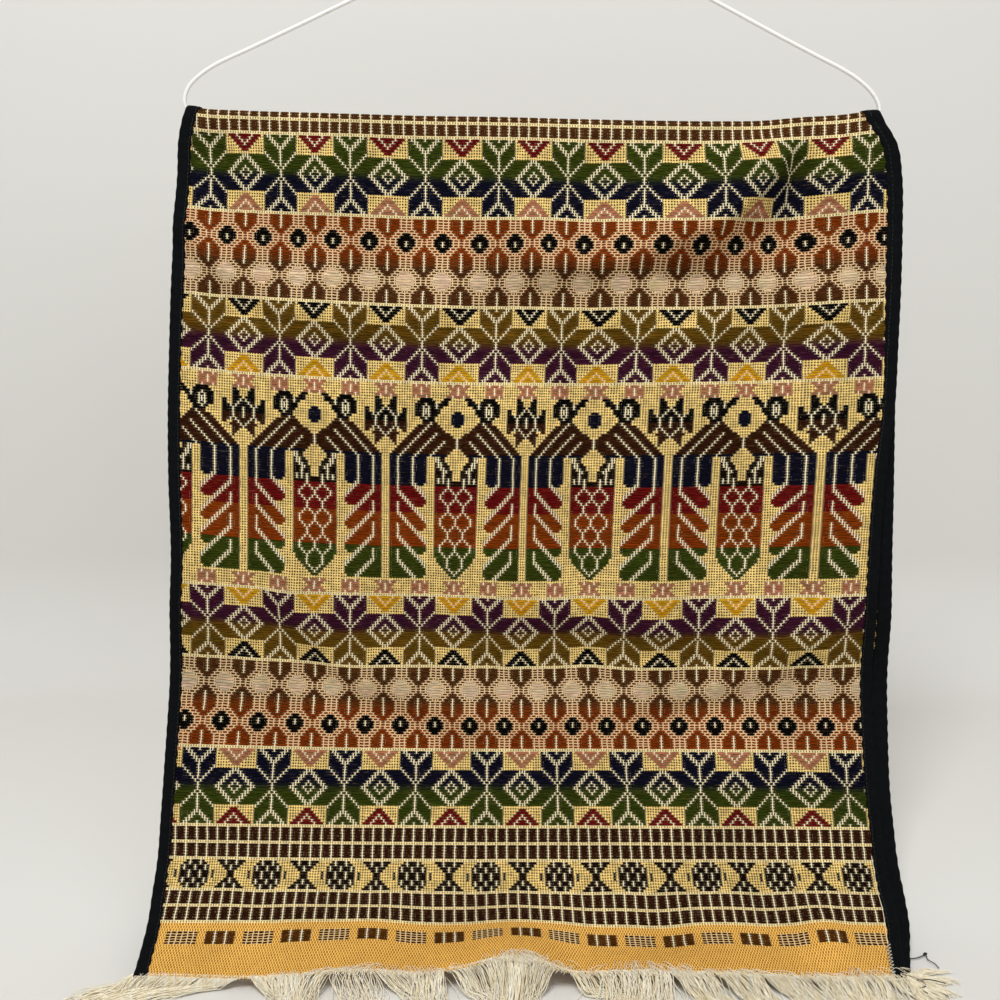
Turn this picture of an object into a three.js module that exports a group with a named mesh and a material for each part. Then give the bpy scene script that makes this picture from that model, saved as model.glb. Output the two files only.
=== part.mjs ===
// A woven runner with bound sides and fringed ends, draped over the bar of a coated wire coat hanger.
// Millimetres, +Z up. The origin is the seat inside the top of the hook, and the front flap faces -Y.
import * as THREE from 'three';

// ---------------------------------------------------------------- driving sizes
const WIRE = 2.4;            // the hanger's wire with its coating
const SHEET = 1.4;           // the woven cloth
const TAPE = 0.8;            // one layer of the binding tape
const BINDING = 7.6;         // how far the binding laps onto the cloth
const GAP = 0.3;             // between pieces that touch
const DRAPE_CLEARANCE = 2;   // between the bar and the innermost layer that hangs over it
const ROW = 1.65;            // one row of the weave's design, which levels are counted in
const HOOK_RADIUS = 20.2;    // the middle of the hook's wire
const FLAP_GAP = 4.8;        // middle of the front flap to middle of the back flap
const FLAP_MEET = 55;        // how far below the bar the two flaps come together
const BACK_EXTRA_ROWS = 4;   // the back flap is this much longer
const FRINGE = 60;           // length of the loose ends at each hem
const FRINGE_THICK = 1.2;
const HEADING_GAP = 0.5;     // from the cut end of the cloth to the fringe's heading
const HEM_ROW = 313;         // where the front flap ends

const foldRadius = WIRE / 2 + DRAPE_CLEARANCE + TAPE + GAP + SHEET / 2;
const foldArc = foldRadius * Math.PI / 2;
const BAR_ROW = -5.4;        // the row level with the middle of the bar
const frontLength = foldArc + (HEM_ROW - BAR_ROW) * ROW;
const backLength = frontLength + BACK_EXTRA_ROWS * ROW;

// How the runner hangs, a line for each level of the front flap. lean is in degrees forward of plumb.
// left and right are its edges. backShift is how far the back flap lies to the right of the front one.
// rise is how far the weave's rows curve up, in mm, towards the left and the right edge.
const LEVELS = [
  { row: -9, lean: 0, left: -200.5, right: 199.5, backShift: 0, riseLeft: 0, riseRight: 0 },
  { row: -5, lean: 0, left: -202, right: 201.5, backShift: 0, riseLeft: 0, riseRight: 0 },
  { row: 4, lean: -2, left: -210.7, right: 215, backShift: 0, riseLeft: 0, riseRight: 0.5 },
  { row: 16, lean: -4, left: -213.5, right: 220, backShift: 0, riseLeft: 1, riseRight: 1.5 },
  { row: 33, lean: 0, left: -217.4, right: 223, backShift: 0, riseLeft: 3, riseRight: 2 },
  { row: 74, lean: 5, left: -222.3, right: 224.4, backShift: 0, riseLeft: 10, riseRight: 4 },
  { row: 100, lean: 7, left: -224.5, right: 222.6, backShift: 1, riseLeft: 11, riseRight: 4 },
  { row: 128, lean: 6, left: -224.8, right: 219, backShift: 4.5, riseLeft: 11, riseRight: 3 },
  { row: 162, lean: 4, left: -225.8, right: 217.4, backShift: 7, riseLeft: 11, riseRight: 2 },
  { row: 184, lean: -5, left: -229, right: 218, backShift: 9, riseLeft: 10, riseRight: 1 },
  { row: 212, lean: 17, left: -230, right: 217.7, backShift: 8.3, riseLeft: 6, riseRight: 0 },
  { row: 242, lean: 24, left: -230.7, right: 217, backShift: 7.3, riseLeft: 2, riseRight: -2 },
  { row: 262, lean: 30, left: -230.4, right: 218.2, backShift: 5.5, riseLeft: 1, riseRight: -1 },
  { row: 280, lean: 61, left: -229, right: 218, backShift: 4.7, riseLeft: 0, riseRight: 0 },
  { row: 292, lean: 68, left: -227, right: 215.5, backShift: 4, riseLeft: 0, riseRight: 0 },
  { row: 301, lean: 77, left: -225.1, right: 212, backShift: 2.5, riseLeft: 0, riseRight: 0 },
  { row: 313, lean: 81, left: -222.2, right: 206.5, backShift: 1, riseLeft: 0, riseRight: 0 },
];

// The soft upright folds. x and half are their place and half width, and the rest is how far they stand
// forward near the bar, by the second star band, by the third one and at the fourth one.
const FOLDS = [
  { x: -196, half: 16, top: -3, second: -2, third: 1, fourth: 0 },
  { x: -128, half: 26, top: 2.5, second: 2, third: 1.5, fourth: 1 },
  { x: -62, half: 22, top: -2, second: -1.5, third: -1, fourth: 0 },
  { x: -4, half: 20, top: 2, second: 2.5, third: 2, fourth: 0.5 },
  { x: 32, half: 14, top: -5, second: -5.5, third: -3.5, fourth: -1 },
  { x: 72, half: 22, top: 1.5, second: 3, third: 3, fourth: 1 },
  { x: 122, half: 17, top: 5.5, second: 3, third: 0, fourth: 0 },
  { x: 152, half: 9, top: -5.5, second: -2.5, third: 0, fourth: 0 },
  { x: 178, half: 14, top: 4, second: 3, third: 1.5, fourth: 1 },
];
const FOLD_ROWS = { start: -5, top: 10, second: 74, third: 182, fourth: 250, end: 285 };

// Where the hem buckles up off what it lies on: place, half width, lift, and the row where that starts.
const BUCKLES = [
  { x: -18, half: 19, lift: 10, fromRow: 276 },
  { x: 176, half: 20, lift: 4, fromRow: 270 },
];

// The bar of the hanger, which sags: the height of its middle at each x.
const BAR = [
  { x: -196, z: -183.0 },
  { x: -172, z: -183.9 },
  { x: -137, z: -184.9 },
  { x: -100, z: -185.9 },
  { x: -60, z: -186.9 },
  { x: -20, z: -187.5 },
  { x: 30, z: -188.7 },
  { x: 75, z: -189.6 },
  { x: 108, z: -189.9 },
  { x: 137, z: -189.4 },
  { x: 160, z: -187.7 },
  { x: 182, z: -186.1 },
  { x: 196, z: -185.2 },
];
const BAR_MIDDLE = -187.5;

// ---------------------------------------------------------------- small tools
const radians = THREE.MathUtils.degToRad;
const lerp = THREE.MathUtils.lerp;
const smooth = THREE.MathUtils.smoothstep;

// The value of one column of a table at a place along another column, eased from line to line.
function read(table, key, at, column) {
  const last = table.length - 1;
  if (at <= table[0][key]) return table[0][column];
  if (at >= table[last][key]) return table[last][column];
  let i = 0;
  while (table[i + 1][key] < at) i += 1;
  const span = table[i + 1][key] - table[i][key];
  const before = i > 0 ? i - 1 : i;
  const after = i + 2 <= last ? i + 2 : last;
  const slopeIn = (table[i + 1][column] - table[before][column]) / (table[i + 1][key] - table[before][key]);
  const slopeOut = (table[after][column] - table[i][column]) / (table[after][key] - table[i][key]);
  const t = (at - table[i][key]) / span;
  const h = t * t * (3 - 2 * t);
  return table[i][column] * (1 - h) + table[i + 1][column] * h
    + span * (slopeIn * t * (1 - t) * (1 - t) - slopeOut * t * t * (1 - t));
}

const level = (row, column) => read(LEVELS, 'row', row, column);
const barSag = (x) => read(BAR, 'x', x, 'z') - BAR_MIDDLE;

// ---------------------------------------------------------------- the hang of the cloth
// The front flap's line in the YZ plane, from the top of the fold down, in steps of one millimetre.
const STEP = 1;
const LINE = [];
{
  let y = 0;
  let z = BAR_MIDDLE + foldRadius;
  for (let s = 0; s <= frontLength + FRINGE; s += STEP) {
    const row = BAR_ROW + (s - foldArc) / ROW;
    const lean = s < foldArc ? Math.PI / 2 - s / foldRadius : radians(level(row, 'lean'));
    LINE.push({ y, z, lean });
    y -= Math.sin(lean) * STEP;
    z -= Math.cos(lean) * STEP;
  }
}

function lineAt(s) {
  const i = Math.min(Math.floor(s / STEP), LINE.length - 2);
  const t = s / STEP - i;
  const mix = (key) => lerp(LINE[i][key], LINE[i + 1][key], t);
  return { y: mix('y'), z: mix('z'), lean: mix('lean') };
}

function foldDepth(x, row) {
  const r = FOLD_ROWS;
  let depth = 0;
  for (const fold of FOLDS) {
    const reach = ((x - fold.x) / fold.half) ** 2;
    let height = lerp(fold.top, fold.second, smooth(row, r.top, r.second));
    height = lerp(height, fold.third, smooth(row, r.second, r.third));
    height = lerp(height, fold.fourth, smooth(row, r.third, r.fourth));
    depth += height * Math.exp(-reach);
  }
  depth *= smooth(row, r.start, r.top) * (1 - smooth(row, r.fourth, r.end));
  for (const buckle of BUCKLES) {
    const reach = ((x - buckle.x) / buckle.half) ** 2;
    depth += buckle.lift * Math.exp(-reach) * smooth(row, buckle.fromRow, HEM_ROW);
  }
  return depth;
}

function rise(x, row) {
  const left = Math.max(0, -x / 225) ** 2 * level(row, 'riseLeft');
  const right = Math.max(0, x / 225) ** 2 * level(row, 'riseRight');
  return barSag(x) * (1 - smooth(row, 0, 110)) + left + right;
}

const rowAt = (s) => BAR_ROW + (s - foldArc) / ROW;

// A point of the cloth. along is the distance from the top of the fold, forward or, below 0, down the back.
// inset is the distance from the left edge, or from the right edge where fromRight is true.
// out is how far the point stands off the middle of the sheet, away from the inside of the fold.
function clothPoint(along, inset, fromRight, out) {
  const s = Math.abs(along);
  const row = rowAt(s);
  const back = along < 0;
  const shift = back ? level(row, 'backShift') : 0;
  const x = (fromRight ? level(row, 'right') - inset : level(row, 'left') + inset) + shift;
  const line = lineAt(Math.min(s, frontLength));
  let normal = new THREE.Vector2(-Math.cos(line.lean), Math.sin(line.lean));
  const middle = new THREE.Vector2(line.y, line.z);
  middle.addScaledVector(normal, foldDepth(x, row));
  if (back && s < foldArc) {
    middle.x = -middle.x;
    normal = new THREE.Vector2(-normal.x, normal.y);
  } else if (back) {
    const apart = lerp(2 * foldRadius, FLAP_GAP, smooth(s - foldArc, 0, FLAP_MEET));
    middle.addScaledVector(normal, -apart);
    const past = Math.max(0, s - frontLength);
    middle.x -= Math.sin(line.lean) * past;
    middle.y -= Math.cos(line.lean) * past;
    normal.negate();
  }
  middle.addScaledVector(normal, out);
  return new THREE.Vector3(x, middle.x, middle.y + rise(x, row));
}

const widthAt = (along) => {
  const row = rowAt(Math.abs(along));
  return level(row, 'right') - level(row, 'left');
};

// ---------------------------------------------------------------- solids from grids and swept sections
function solidFrom(points, triangles) {
  const geometry = new THREE.BufferGeometry();
  geometry.setAttribute('position', new THREE.Float32BufferAttribute(points.flatMap((p) => [p.x, p.y, p.z]), 3));
  geometry.setIndex(triangles.flat());
  geometry.computeVertexNormals();
  return geometry;
}

// A sheet with thickness from a grid of cells, some of which may be missing. top and under give the points.
function gridSolid(across, down, present, top, under) {
  const wide = down + 1;
  const count = (across + 1) * wide;
  const index = (i, j, face) => face * count + i * wide + j;
  const points = [];
  for (const place of [top, under]) {
    for (let i = 0; i <= across; i += 1) {
      for (let j = 0; j <= down; j += 1) points.push(place(i, j));
    }
  }
  const has = (i, j) => i >= 0 && j >= 0 && i < across && j < down && present(i, j);
  const triangles = [];
  const quad = (a, b, c, d) => triangles.push([a, b, c], [a, c, d]);
  for (let i = 0; i < across; i += 1) {
    for (let j = 0; j < down; j += 1) {
      if (!has(i, j)) continue;
      quad(index(i, j, 0), index(i, j + 1, 0), index(i + 1, j + 1, 0), index(i + 1, j, 0));
      quad(index(i, j, 1), index(i + 1, j, 1), index(i + 1, j + 1, 1), index(i, j + 1, 1));
      if (!has(i - 1, j)) quad(index(i, j, 0), index(i, j, 1), index(i, j + 1, 1), index(i, j + 1, 0));
      if (!has(i + 1, j)) {
        quad(index(i + 1, j, 0), index(i + 1, j + 1, 0), index(i + 1, j + 1, 1), index(i + 1, j, 1));
      }
      if (!has(i, j - 1)) quad(index(i, j, 0), index(i + 1, j, 0), index(i + 1, j, 1), index(i, j, 1));
      if (!has(i, j + 1)) {
        quad(index(i, j + 1, 0), index(i, j + 1, 1), index(i + 1, j + 1, 1), index(i + 1, j + 1, 0));
      }
    }
  }
  return keepUsed(points, triangles);
}

function keepUsed(points, triangles) {
  const renamed = new Map();
  const kept = [];
  for (const i of triangles.flat()) {
    if (!renamed.has(i)) renamed.set(i, kept.push(points[i]) - 1);
  }
  return solidFrom(kept, triangles.map((t) => t.map((i) => renamed.get(i))));
}

// A closed outline of (inset, out) points carried down a list of stations along the cloth.
function sweptBinding(outline, fromRight) {
  const points = stations.flatMap((along) => outline.map((p) => clothPoint(along, p.x, fromRight, p.y)));
  const n = outline.length;
  const triangles = [];
  // Each face is split along the same diagonal as the cloth's face under it, so the two stay parallel.
  for (let i = 0; i < n; i += 1) {
    const inward = outline[(i + 1) % n].x > outline[i].x;
    for (let k = 0; k < stations.length - 1; k += 1) {
      const a = k * n + i;
      const b = k * n + (i + 1) % n;
      if (inward !== fromRight) triangles.push([a, b, b + n], [a, b + n, a + n]);
      else triangles.push([a, b, a + n], [b, b + n, a + n]);
    }
  }
  const cap = THREE.ShapeUtils.triangulateShape(outline, []);
  const end = (stations.length - 1) * n;
  for (const [a, b, c] of cap) {
    triangles.push([a, c, b]);
    triangles.push([end + a, end + b, end + c]);
  }
  return solidFrom(points, fromRight ? triangles.map(([a, b, c]) => [a, c, b]) : triangles);
}

// ---------------------------------------------------------------- the pieces
// Stations down the cloth: close together over the bar and where the hem turns forward.
const FRONT_STATIONS = [0, 0.3, 0.65, 1].map((share) => share * foldArc);
for (const row of [-2, 4, 10, 18, 28, 40, 54, 70, 88, 106, 124, 142, 158, 172, 184, 196, 208, 222]) {
  FRONT_STATIONS.push(foldArc + (row - BAR_ROW) * ROW);
}
for (let row = 234; row <= HEM_ROW - 3; row += 7.6) FRONT_STATIONS.push(foldArc + (row - BAR_ROW) * ROW);
const upToHem = (length) => [...FRONT_STATIONS, length];
const stations = [...upToHem(backLength).reverse().slice(0, -1).map((s) => -s), ...upToHem(frontLength)];

const edgeInset = TAPE + GAP;
const PANEL_COLUMNS = 28;

// The first and the last column of the cloth's grid are the strips that the binding covers.
function wovenPanel() {
  const place = (out) => (i, j) => {
    const along = stations[j];
    if (i === 0) return clothPoint(along, edgeInset, false, out);
    if (i === PANEL_COLUMNS) return clothPoint(along, edgeInset, true, out);
    const share = (i - 1) / (PANEL_COLUMNS - 2);
    return clothPoint(along, BINDING + (widthAt(along) - 2 * BINDING) * share, false, out);
  };
  return gridSolid(PANEL_COLUMNS, stations.length - 1, () => true, place(SHEET / 2), place(-SHEET / 2));
}

function bindingTape(fromRight) {
  const slot = SHEET / 2 + GAP;
  const face = slot + TAPE;
  const outline = [
    new THREE.Vector2(0, -face),
    new THREE.Vector2(BINDING, -face),
    new THREE.Vector2(BINDING, -slot),
    new THREE.Vector2(TAPE, -slot),
    new THREE.Vector2(TAPE, slot),
    new THREE.Vector2(BINDING, slot),
    new THREE.Vector2(BINDING, face),
    new THREE.Vector2(0, face),
  ];
  return sweptBinding(outline, fromRight);
}

// The fringe: a narrow heading along the hem, and locks that run out over the floor and spread.
const LOCKS = 21;
const LOCK_STATIONS = [0, 0.05, 0.2, 0.4, 0.7, 1];
const FRINGE_DROP = 3;       // from the hem to where the locks lie
const CORNER_SPREAD = 30;    // how far the outermost locks lean outwards

function fringeComb(back) {
  const length = back ? backLength : frontLength;
  const sign = back ? -1 : 1;
  const root = clothPoint(sign * length, 0, false, 0);
  const wide = widthAt(length) - 2 * edgeInset;
  const cells = 2 * LOCKS - 1;
  const place = (half) => (i, j) => {
    const share = LOCK_STATIONS[j];
    const lock = Math.floor(i / 2);
    const start = clothPoint(sign * length, edgeInset + wide * i / cells, false, 0);
    const lift = start.z - root.z;
    const across = 2 * i / cells - 1;
    const reach = HEADING_GAP + share * FRINGE * (0.88 + 0.12 * Math.sin(2.3 * lock + (back ? 1 : 0)));
    const sway = CORNER_SPREAD * across ** 3 + 5 * Math.sin(1.7 * lock + (back ? 2 : 0));
    const settle = smooth(share, 0, 0.45);
    const narrow = j > 1 ? (i % 2 === 0 ? 1 : -1) * 1.6 * share : 0;
    return new THREE.Vector3(
      start.x + sway * share ** 1.4 + narrow,
      start.y - reach * Math.sqrt(Math.max(0.4, 1 - across ** 6 * 0.5)),
      start.z - settle * (FRINGE_DROP + lift) + half * FRINGE_THICK / 2,
    );
  };
  return gridSolid(cells, LOCK_STATIONS.length - 1, (i, j) => j === 0 || i % 2 === 0, place(1), place(-1));
}

// The hanger is one wire: hook, neck, right shoulder, bar, left shoulder, and a few turns round the neck.
const NECK = { bottom: -70, top: -48, x: 3, wraps: 2.5 };
const RIGHT_SIDE = [
  [40, -89], [103.5, -120], [143, -139.6], [167.5, -151.4], [180.5, -157.6], [191.5, -164], [199.5, -170.8],
  [203.6, -176.8], [204.6, -181], [203.2, -184.4], [199.8, -185.7],
];
const LEFT_SIDE = [
  [-199.8, -183], [-204, -181.6], [-206, -177.8], [-205.6, -172.4], [-202.4, -166.6], [-196, -161],
  [-186.8, -155.4], [-166, -146.4], [-136, -133.3], [-106, -120], [-40, -91.2],
];

function hangerWire() {
  const route = [];
  const add = (x, y, z) => route.push(new THREE.Vector3(x, y, z));
  // The hook turns over the origin, which is its seat, from its tip round to the neck.
  const centre = WIRE / 2 - HOOK_RADIUS;
  for (let turn = 205; turn >= 0; turn -= 17) {
    const a = radians(turn);
    add(HOOK_RADIUS * Math.cos(a), 0, centre + HOOK_RADIUS * Math.sin(a));
  }
  add(18.6, 0, centre - 8);
  add(12.5, 0, centre - 16);
  add(6, 0, centre - 22.5);
  add(NECK.x, 0, NECK.top);
  add(NECK.x, 0, (NECK.top + NECK.bottom) / 2);
  add(NECK.x + 0.6, 0, NECK.bottom + 2);
  add(10, 0, NECK.bottom - 4.6);
  for (const [x, z] of RIGHT_SIDE) add(x, 0, z);
  for (const { x, z } of [...BAR].reverse()) add(x, 0, z);
  for (const [x, z] of LEFT_SIDE) add(x, 0, z);
  add(-12, 0, NECK.bottom - 9);
  // The end winds round the neck, clear of it by the usual gap.
  const radius = WIRE + GAP;
  const perTurn = 10;
  for (let k = 0; k <= NECK.wraps * perTurn; k += 1) {
    const a = Math.PI + 2 * Math.PI * k / perTurn;
    const z = NECK.bottom + 1.5 + (WIRE + GAP) * k / perTurn;
    add(NECK.x + radius * Math.cos(a), radius * Math.sin(a), z);
  }
  const curve = new THREE.CatmullRomCurve3(route, false, 'centripetal');
  // Steps follow the route's own points, so that the bends get more of them than the straights.
  curve.getPointAt = (u, target) => curve.getPoint(u, target);
  curve.getTangentAt = (u, target) => curve.getTangent(u, target);
  const section = new THREE.Shape();
  section.absarc(0, 0, WIRE / 2, 0, 2 * Math.PI, false);
  const options = { steps: Math.round(1.5 * (route.length - 1)), extrudePath: curve, curveSegments: 4 };
  return new THREE.ExtrudeGeometry(section, { ...options, bevelEnabled: false });
}

// ---------------------------------------------------------------- the assembly
const finish = {
  weave: { color: 0x8a6a3c, roughness: 0.92, metalness: 0 },
  tape: { color: 0x101212, roughness: 0.85, metalness: 0 },
  yarn: { color: 0xcfc4a8, roughness: 0.95, metalness: 0 },
  coating: { color: 0xe9e9e6, roughness: 0.35, metalness: 0 },
};

const PIECES = [
  { name: 'woven_panel', shape: wovenPanel(), look: 'weave' },
  { name: 'binding_left', shape: bindingTape(false), look: 'tape' },
  { name: 'binding_right', shape: bindingTape(true), look: 'tape' },
  { name: 'fringe_front', shape: fringeComb(false), look: 'yarn' },
  { name: 'fringe_back', shape: fringeComb(true), look: 'yarn' },
  { name: 'hanger', shape: hangerWire(), look: 'coating' },
];

const hanging = new THREE.Group();
for (const { name, shape, look } of PIECES) {
  const mesh = new THREE.Mesh(shape, new THREE.MeshStandardMaterial(finish[look]));
  mesh.name = name;
  hanging.add(mesh);
}

export default hanging;
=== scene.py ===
# %% [markdown]
# # A brocaded runner on a wire coat hanger
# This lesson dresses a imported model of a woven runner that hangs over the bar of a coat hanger. The
# frame gives every place: the finished pieces are built in metres around it and replace its plain
# solids.

# %% Load the frame
import math
import random
from functools import partial

import bmesh
import bpy
import numpy as np
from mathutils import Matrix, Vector


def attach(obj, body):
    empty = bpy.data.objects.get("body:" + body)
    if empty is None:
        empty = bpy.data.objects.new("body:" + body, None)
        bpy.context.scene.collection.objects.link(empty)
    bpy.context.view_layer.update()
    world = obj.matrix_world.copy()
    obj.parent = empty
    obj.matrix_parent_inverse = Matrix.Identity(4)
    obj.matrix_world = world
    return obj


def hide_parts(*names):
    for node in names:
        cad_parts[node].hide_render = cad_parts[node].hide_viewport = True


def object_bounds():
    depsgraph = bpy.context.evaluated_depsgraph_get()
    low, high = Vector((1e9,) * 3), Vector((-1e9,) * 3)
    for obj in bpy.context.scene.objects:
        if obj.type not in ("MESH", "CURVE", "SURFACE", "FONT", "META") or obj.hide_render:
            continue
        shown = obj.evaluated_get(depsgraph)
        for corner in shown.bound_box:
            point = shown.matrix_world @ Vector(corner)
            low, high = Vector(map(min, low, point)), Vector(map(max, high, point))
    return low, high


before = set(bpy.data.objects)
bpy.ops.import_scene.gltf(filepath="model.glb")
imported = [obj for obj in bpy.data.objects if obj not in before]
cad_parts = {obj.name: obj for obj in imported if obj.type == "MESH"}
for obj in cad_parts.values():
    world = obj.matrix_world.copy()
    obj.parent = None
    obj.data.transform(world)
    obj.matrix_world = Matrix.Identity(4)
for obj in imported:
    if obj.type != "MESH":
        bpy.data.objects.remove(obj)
cad_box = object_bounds()
print("nodes:", sorted(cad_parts))

# %% [markdown]
# ## Helpers
# Sizes are written in millimetres, as a weaver would measure them, and MM turns them into metres.
# Colours are written as sRGB hex values, and `linear` turns them into the linear values that shaders
# work with. `add` puts one node into a material, sets it up and links it, so that each material reads
# as a list. `placed` turns a mesh into an object.

# %% Units, colours and one function for nodes
MM = 0.001
noise = np.random.default_rng(7)


def linear(colour):
    """An sRGB hex colour as linear red, green, blue and alpha."""
    parts = [int(colour[i:i + 2], 16) / 255 for i in (1, 3, 5)]
    return tuple(c / 12.92 if c <= 0.04045 else ((c + 0.055) / 1.055) ** 2.4 for c in parts) + (1.0,)


def link(tree, node, inputs):
    """Each input takes a value, an output, or a node for its first output."""
    for key, value in inputs.items():
        if isinstance(value, bpy.types.Node):
            value = next(output for output in value.outputs if output.enabled)
        if isinstance(value, bpy.types.NodeSocket):
            tree.links.new(value, node.inputs[key])
        else:
            node.inputs[key].default_value = value


def add(tree, kind, inputs=None, **settings):
    """Adds a node with its settings and its inputs."""
    made = tree.nodes.new("ShaderNode" + kind)
    for name, value in settings.items():
        setattr(made, name, value)
    link(tree, made, inputs or {})
    return made


def new_material(name):
    """A material with an empty node tree, its Principled shader and its output."""
    made = bpy.data.materials.new(name)
    made.use_nodes = True
    made.node_tree.nodes.clear()
    shader = add(made.node_tree, "BsdfPrincipled")
    add(made.node_tree, "OutputMaterial", {"Surface": shader.outputs["BSDF"]})
    return made, made.node_tree, shader


def placed(name, data):
    """A smooth-shaded object at the origin, from a mesh that already has its place."""
    for polygon in data.polygons:
        polygon.use_smooth = True
    made = bpy.data.objects.new(name, data)
    bpy.context.scene.collection.objects.link(made)
    return made


print("white in linear values:", linear("#FFFFFF"))

# %% [markdown]
# ## The camera
# The camera stands a little above the middle of the cloth and looks slightly down, close enough for the
# hem to come forward in perspective. Setting it first lets every later step be judged from the same
# place.

# %% Camera
CAMERA_PLACE = (-19.8 * MM, -624 * MM, -299.8 * MM)
LOOKS_DOWN = 10.5        # in degrees
camera_data = bpy.data.cameras.new("camera")
camera_data.sensor_width = 36
camera_data.lens = 36
camera = bpy.data.objects.new("camera", camera_data)
camera.location = CAMERA_PLACE
camera.rotation_euler = (math.radians(90 - LOOKS_DOWN), 0, 0)
bpy.context.scene.collection.objects.link(camera)
bpy.context.scene.camera = camera
print("camera", [round(v, 3) for v in camera.location])

# %% [markdown]
# ## How the runner hangs
# On the real hanger the cloth turns over the bar, falls almost plumb and then sweeps forward as its hem
# meets what is below it. Cloth simulation could find that shape, but the exact lean of each level
# matters here, because the rows of the weave show it. So the hang is a short table: a line for each
# level, counted in rows of the weave, with its lean, its two edges and how its rows curve. A smooth
# curve runs through the lines.

# %% The levels of the hang
ROW = 1.643              # one row of the weave's design
CLOTH = 0.9              # thickness of the woven cloth
FOLD_RADIUS = 2.6        # the middle of the cloth, as it turns over the bar
BAR_ROW = -6.0           # the row level with the middle of the bar
HEM_ROW = 313            # the last row of the front flap
BACK_HEM_ROW = -327      # the last row of the back flap, counted upwards over the bar
FLAP_GAP = 4.6           # middle of the front flap to middle of the back flap
FLAPS_MEET = 55          # how far below the bar they have come that close
FOLD_ARC = FOLD_RADIUS * math.pi / 2
TOP_ROW = BAR_ROW - FOLD_ARC / ROW

LEVELS = np.array([
    # row, lean forward in degrees, left edge, right edge, back flap's shift, rise to the left, to the right
    (-9, 0, -203.2, 203.2, 0, 0, 0),
    (-5, 2, -206, 206, 0, 0, 0),
    (4, 1, -210.3, 215.4, 0, 0, 0.5),
    (16, -1, -212.2, 220, 0, 1, 1.5),
    (33, 1, -215.4, 222.3, 0, 3, 2),
    (55, 4, -218.7, 223.1, 0, 7, 3.5),
    (74, 5, -220.8, 222.7, 0, 10, 4),
    (100, 7, -223, 221.7, 2, 11, 4),
    (128, 6, -223.6, 217, 7.4, 11, 3),
    (162, 4, -223.4, 215, 10, 11, 2),
    (184, -5, -226.7, 215.6, 11.4, 10, 1),
    (212, 17, -228.7, 215.6, 11.6, 6, 0),
    (242, 24, -229.6, 215.6, 9.8, 2, -2),
    (262, 30, -229.3, 216.1, 9, 2, -1),
    (280, 60, -227.4, 214.6, 8.9, 3, 0),
    (292, 67, -224.9, 212.7, 7.3, 1.5, 0),
    (301, 77, -223.8, 209.2, 5.5, 0, 0),
    (313, 81, -221.7, 205.2, 2.6, 0, 0),
], dtype=float)
LEAN, LEFT, RIGHT, BACK_SHIFT, RISE_LEFT, RISE_RIGHT = range(1, 7)

# The middle of the fold's turn at each x: it follows the sagging bar and lifts at the hanger's two bends.
FOLD_LINE = np.array([
    (-205, -181.5), (-197, -182.8), (-173, -184.1), (-137, -185.2), (-100, -186.2), (-68, -187.1),
    (-20, -187.8), (29, -189.0), (75, -189.9), (108, -190.2), (137, -189.8), (158, -188.0), (184, -186.4),
    (195, -185.0), (205, -184.0),
])
FOLD_MIDDLE = -187.8


def eased(table, column, at):
    """One column of a table at any places along its first column, on a smooth curve."""
    keys, values = table[:, 0], table[:, column]
    slopes = np.gradient(values, keys)
    at = np.clip(at, keys[0], keys[-1])
    i = np.clip(np.searchsorted(keys, at, side="right") - 1, 0, len(keys) - 2)
    span = keys[i + 1] - keys[i]
    t = (at - keys[i]) / span
    start = values[i] * (1 + 2 * t) * (1 - t) ** 2 + slopes[i] * span * t * (1 - t) ** 2
    end = values[i + 1] * t * t * (3 - 2 * t) - slopes[i + 1] * span * t * t * (1 - t)
    return start + end


def smooth(value, low, high):
    """0 below low, 1 above high, and a soft step between."""
    t = np.clip((value - low) / (high - low), 0, 1)
    return t * t * (3 - 2 * t)


print("lean at the hem:", eased(LEVELS, LEAN, np.array([313.0])))

# %% [markdown]
# The folds are soft swellings and hollows that run down the cloth and die out towards the hem. Each is
# a bell curve across the cloth, with its height at four levels. The hem itself buckles up in the
# middle.

# %% Folds and the lift of the hem
FOLDS = [
    # x, half width, how far it stands forward near the bar, at row 74, at row 182 and at row 250
    (-196, 16, -3.0, -2.0, 1.0, 0.0),
    (-128, 26, 2.5, 2.0, 1.5, 1.0),
    (-62, 22, -2.0, -1.5, -1.0, 0.0),
    (-4, 20, 2.0, 2.5, 1.0, 0.5),
    (-16, 7, 0.0, 0.0, 2.6, 0.0),
    (32, 14, -5.0, -5.5, -3.5, -1.0),
    (72, 22, 1.5, 3.0, 3.0, 1.0),
    (122, 17, 2.5, 2.0, 0.0, 0.0),
    (157, 9, -5.5, -1.5, 0.0, 0.0),
    (180, 14, 4.0, 3.0, 1.5, 1.0),
]
FOLD_ROWS = (10, 74, 182, 250)
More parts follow.
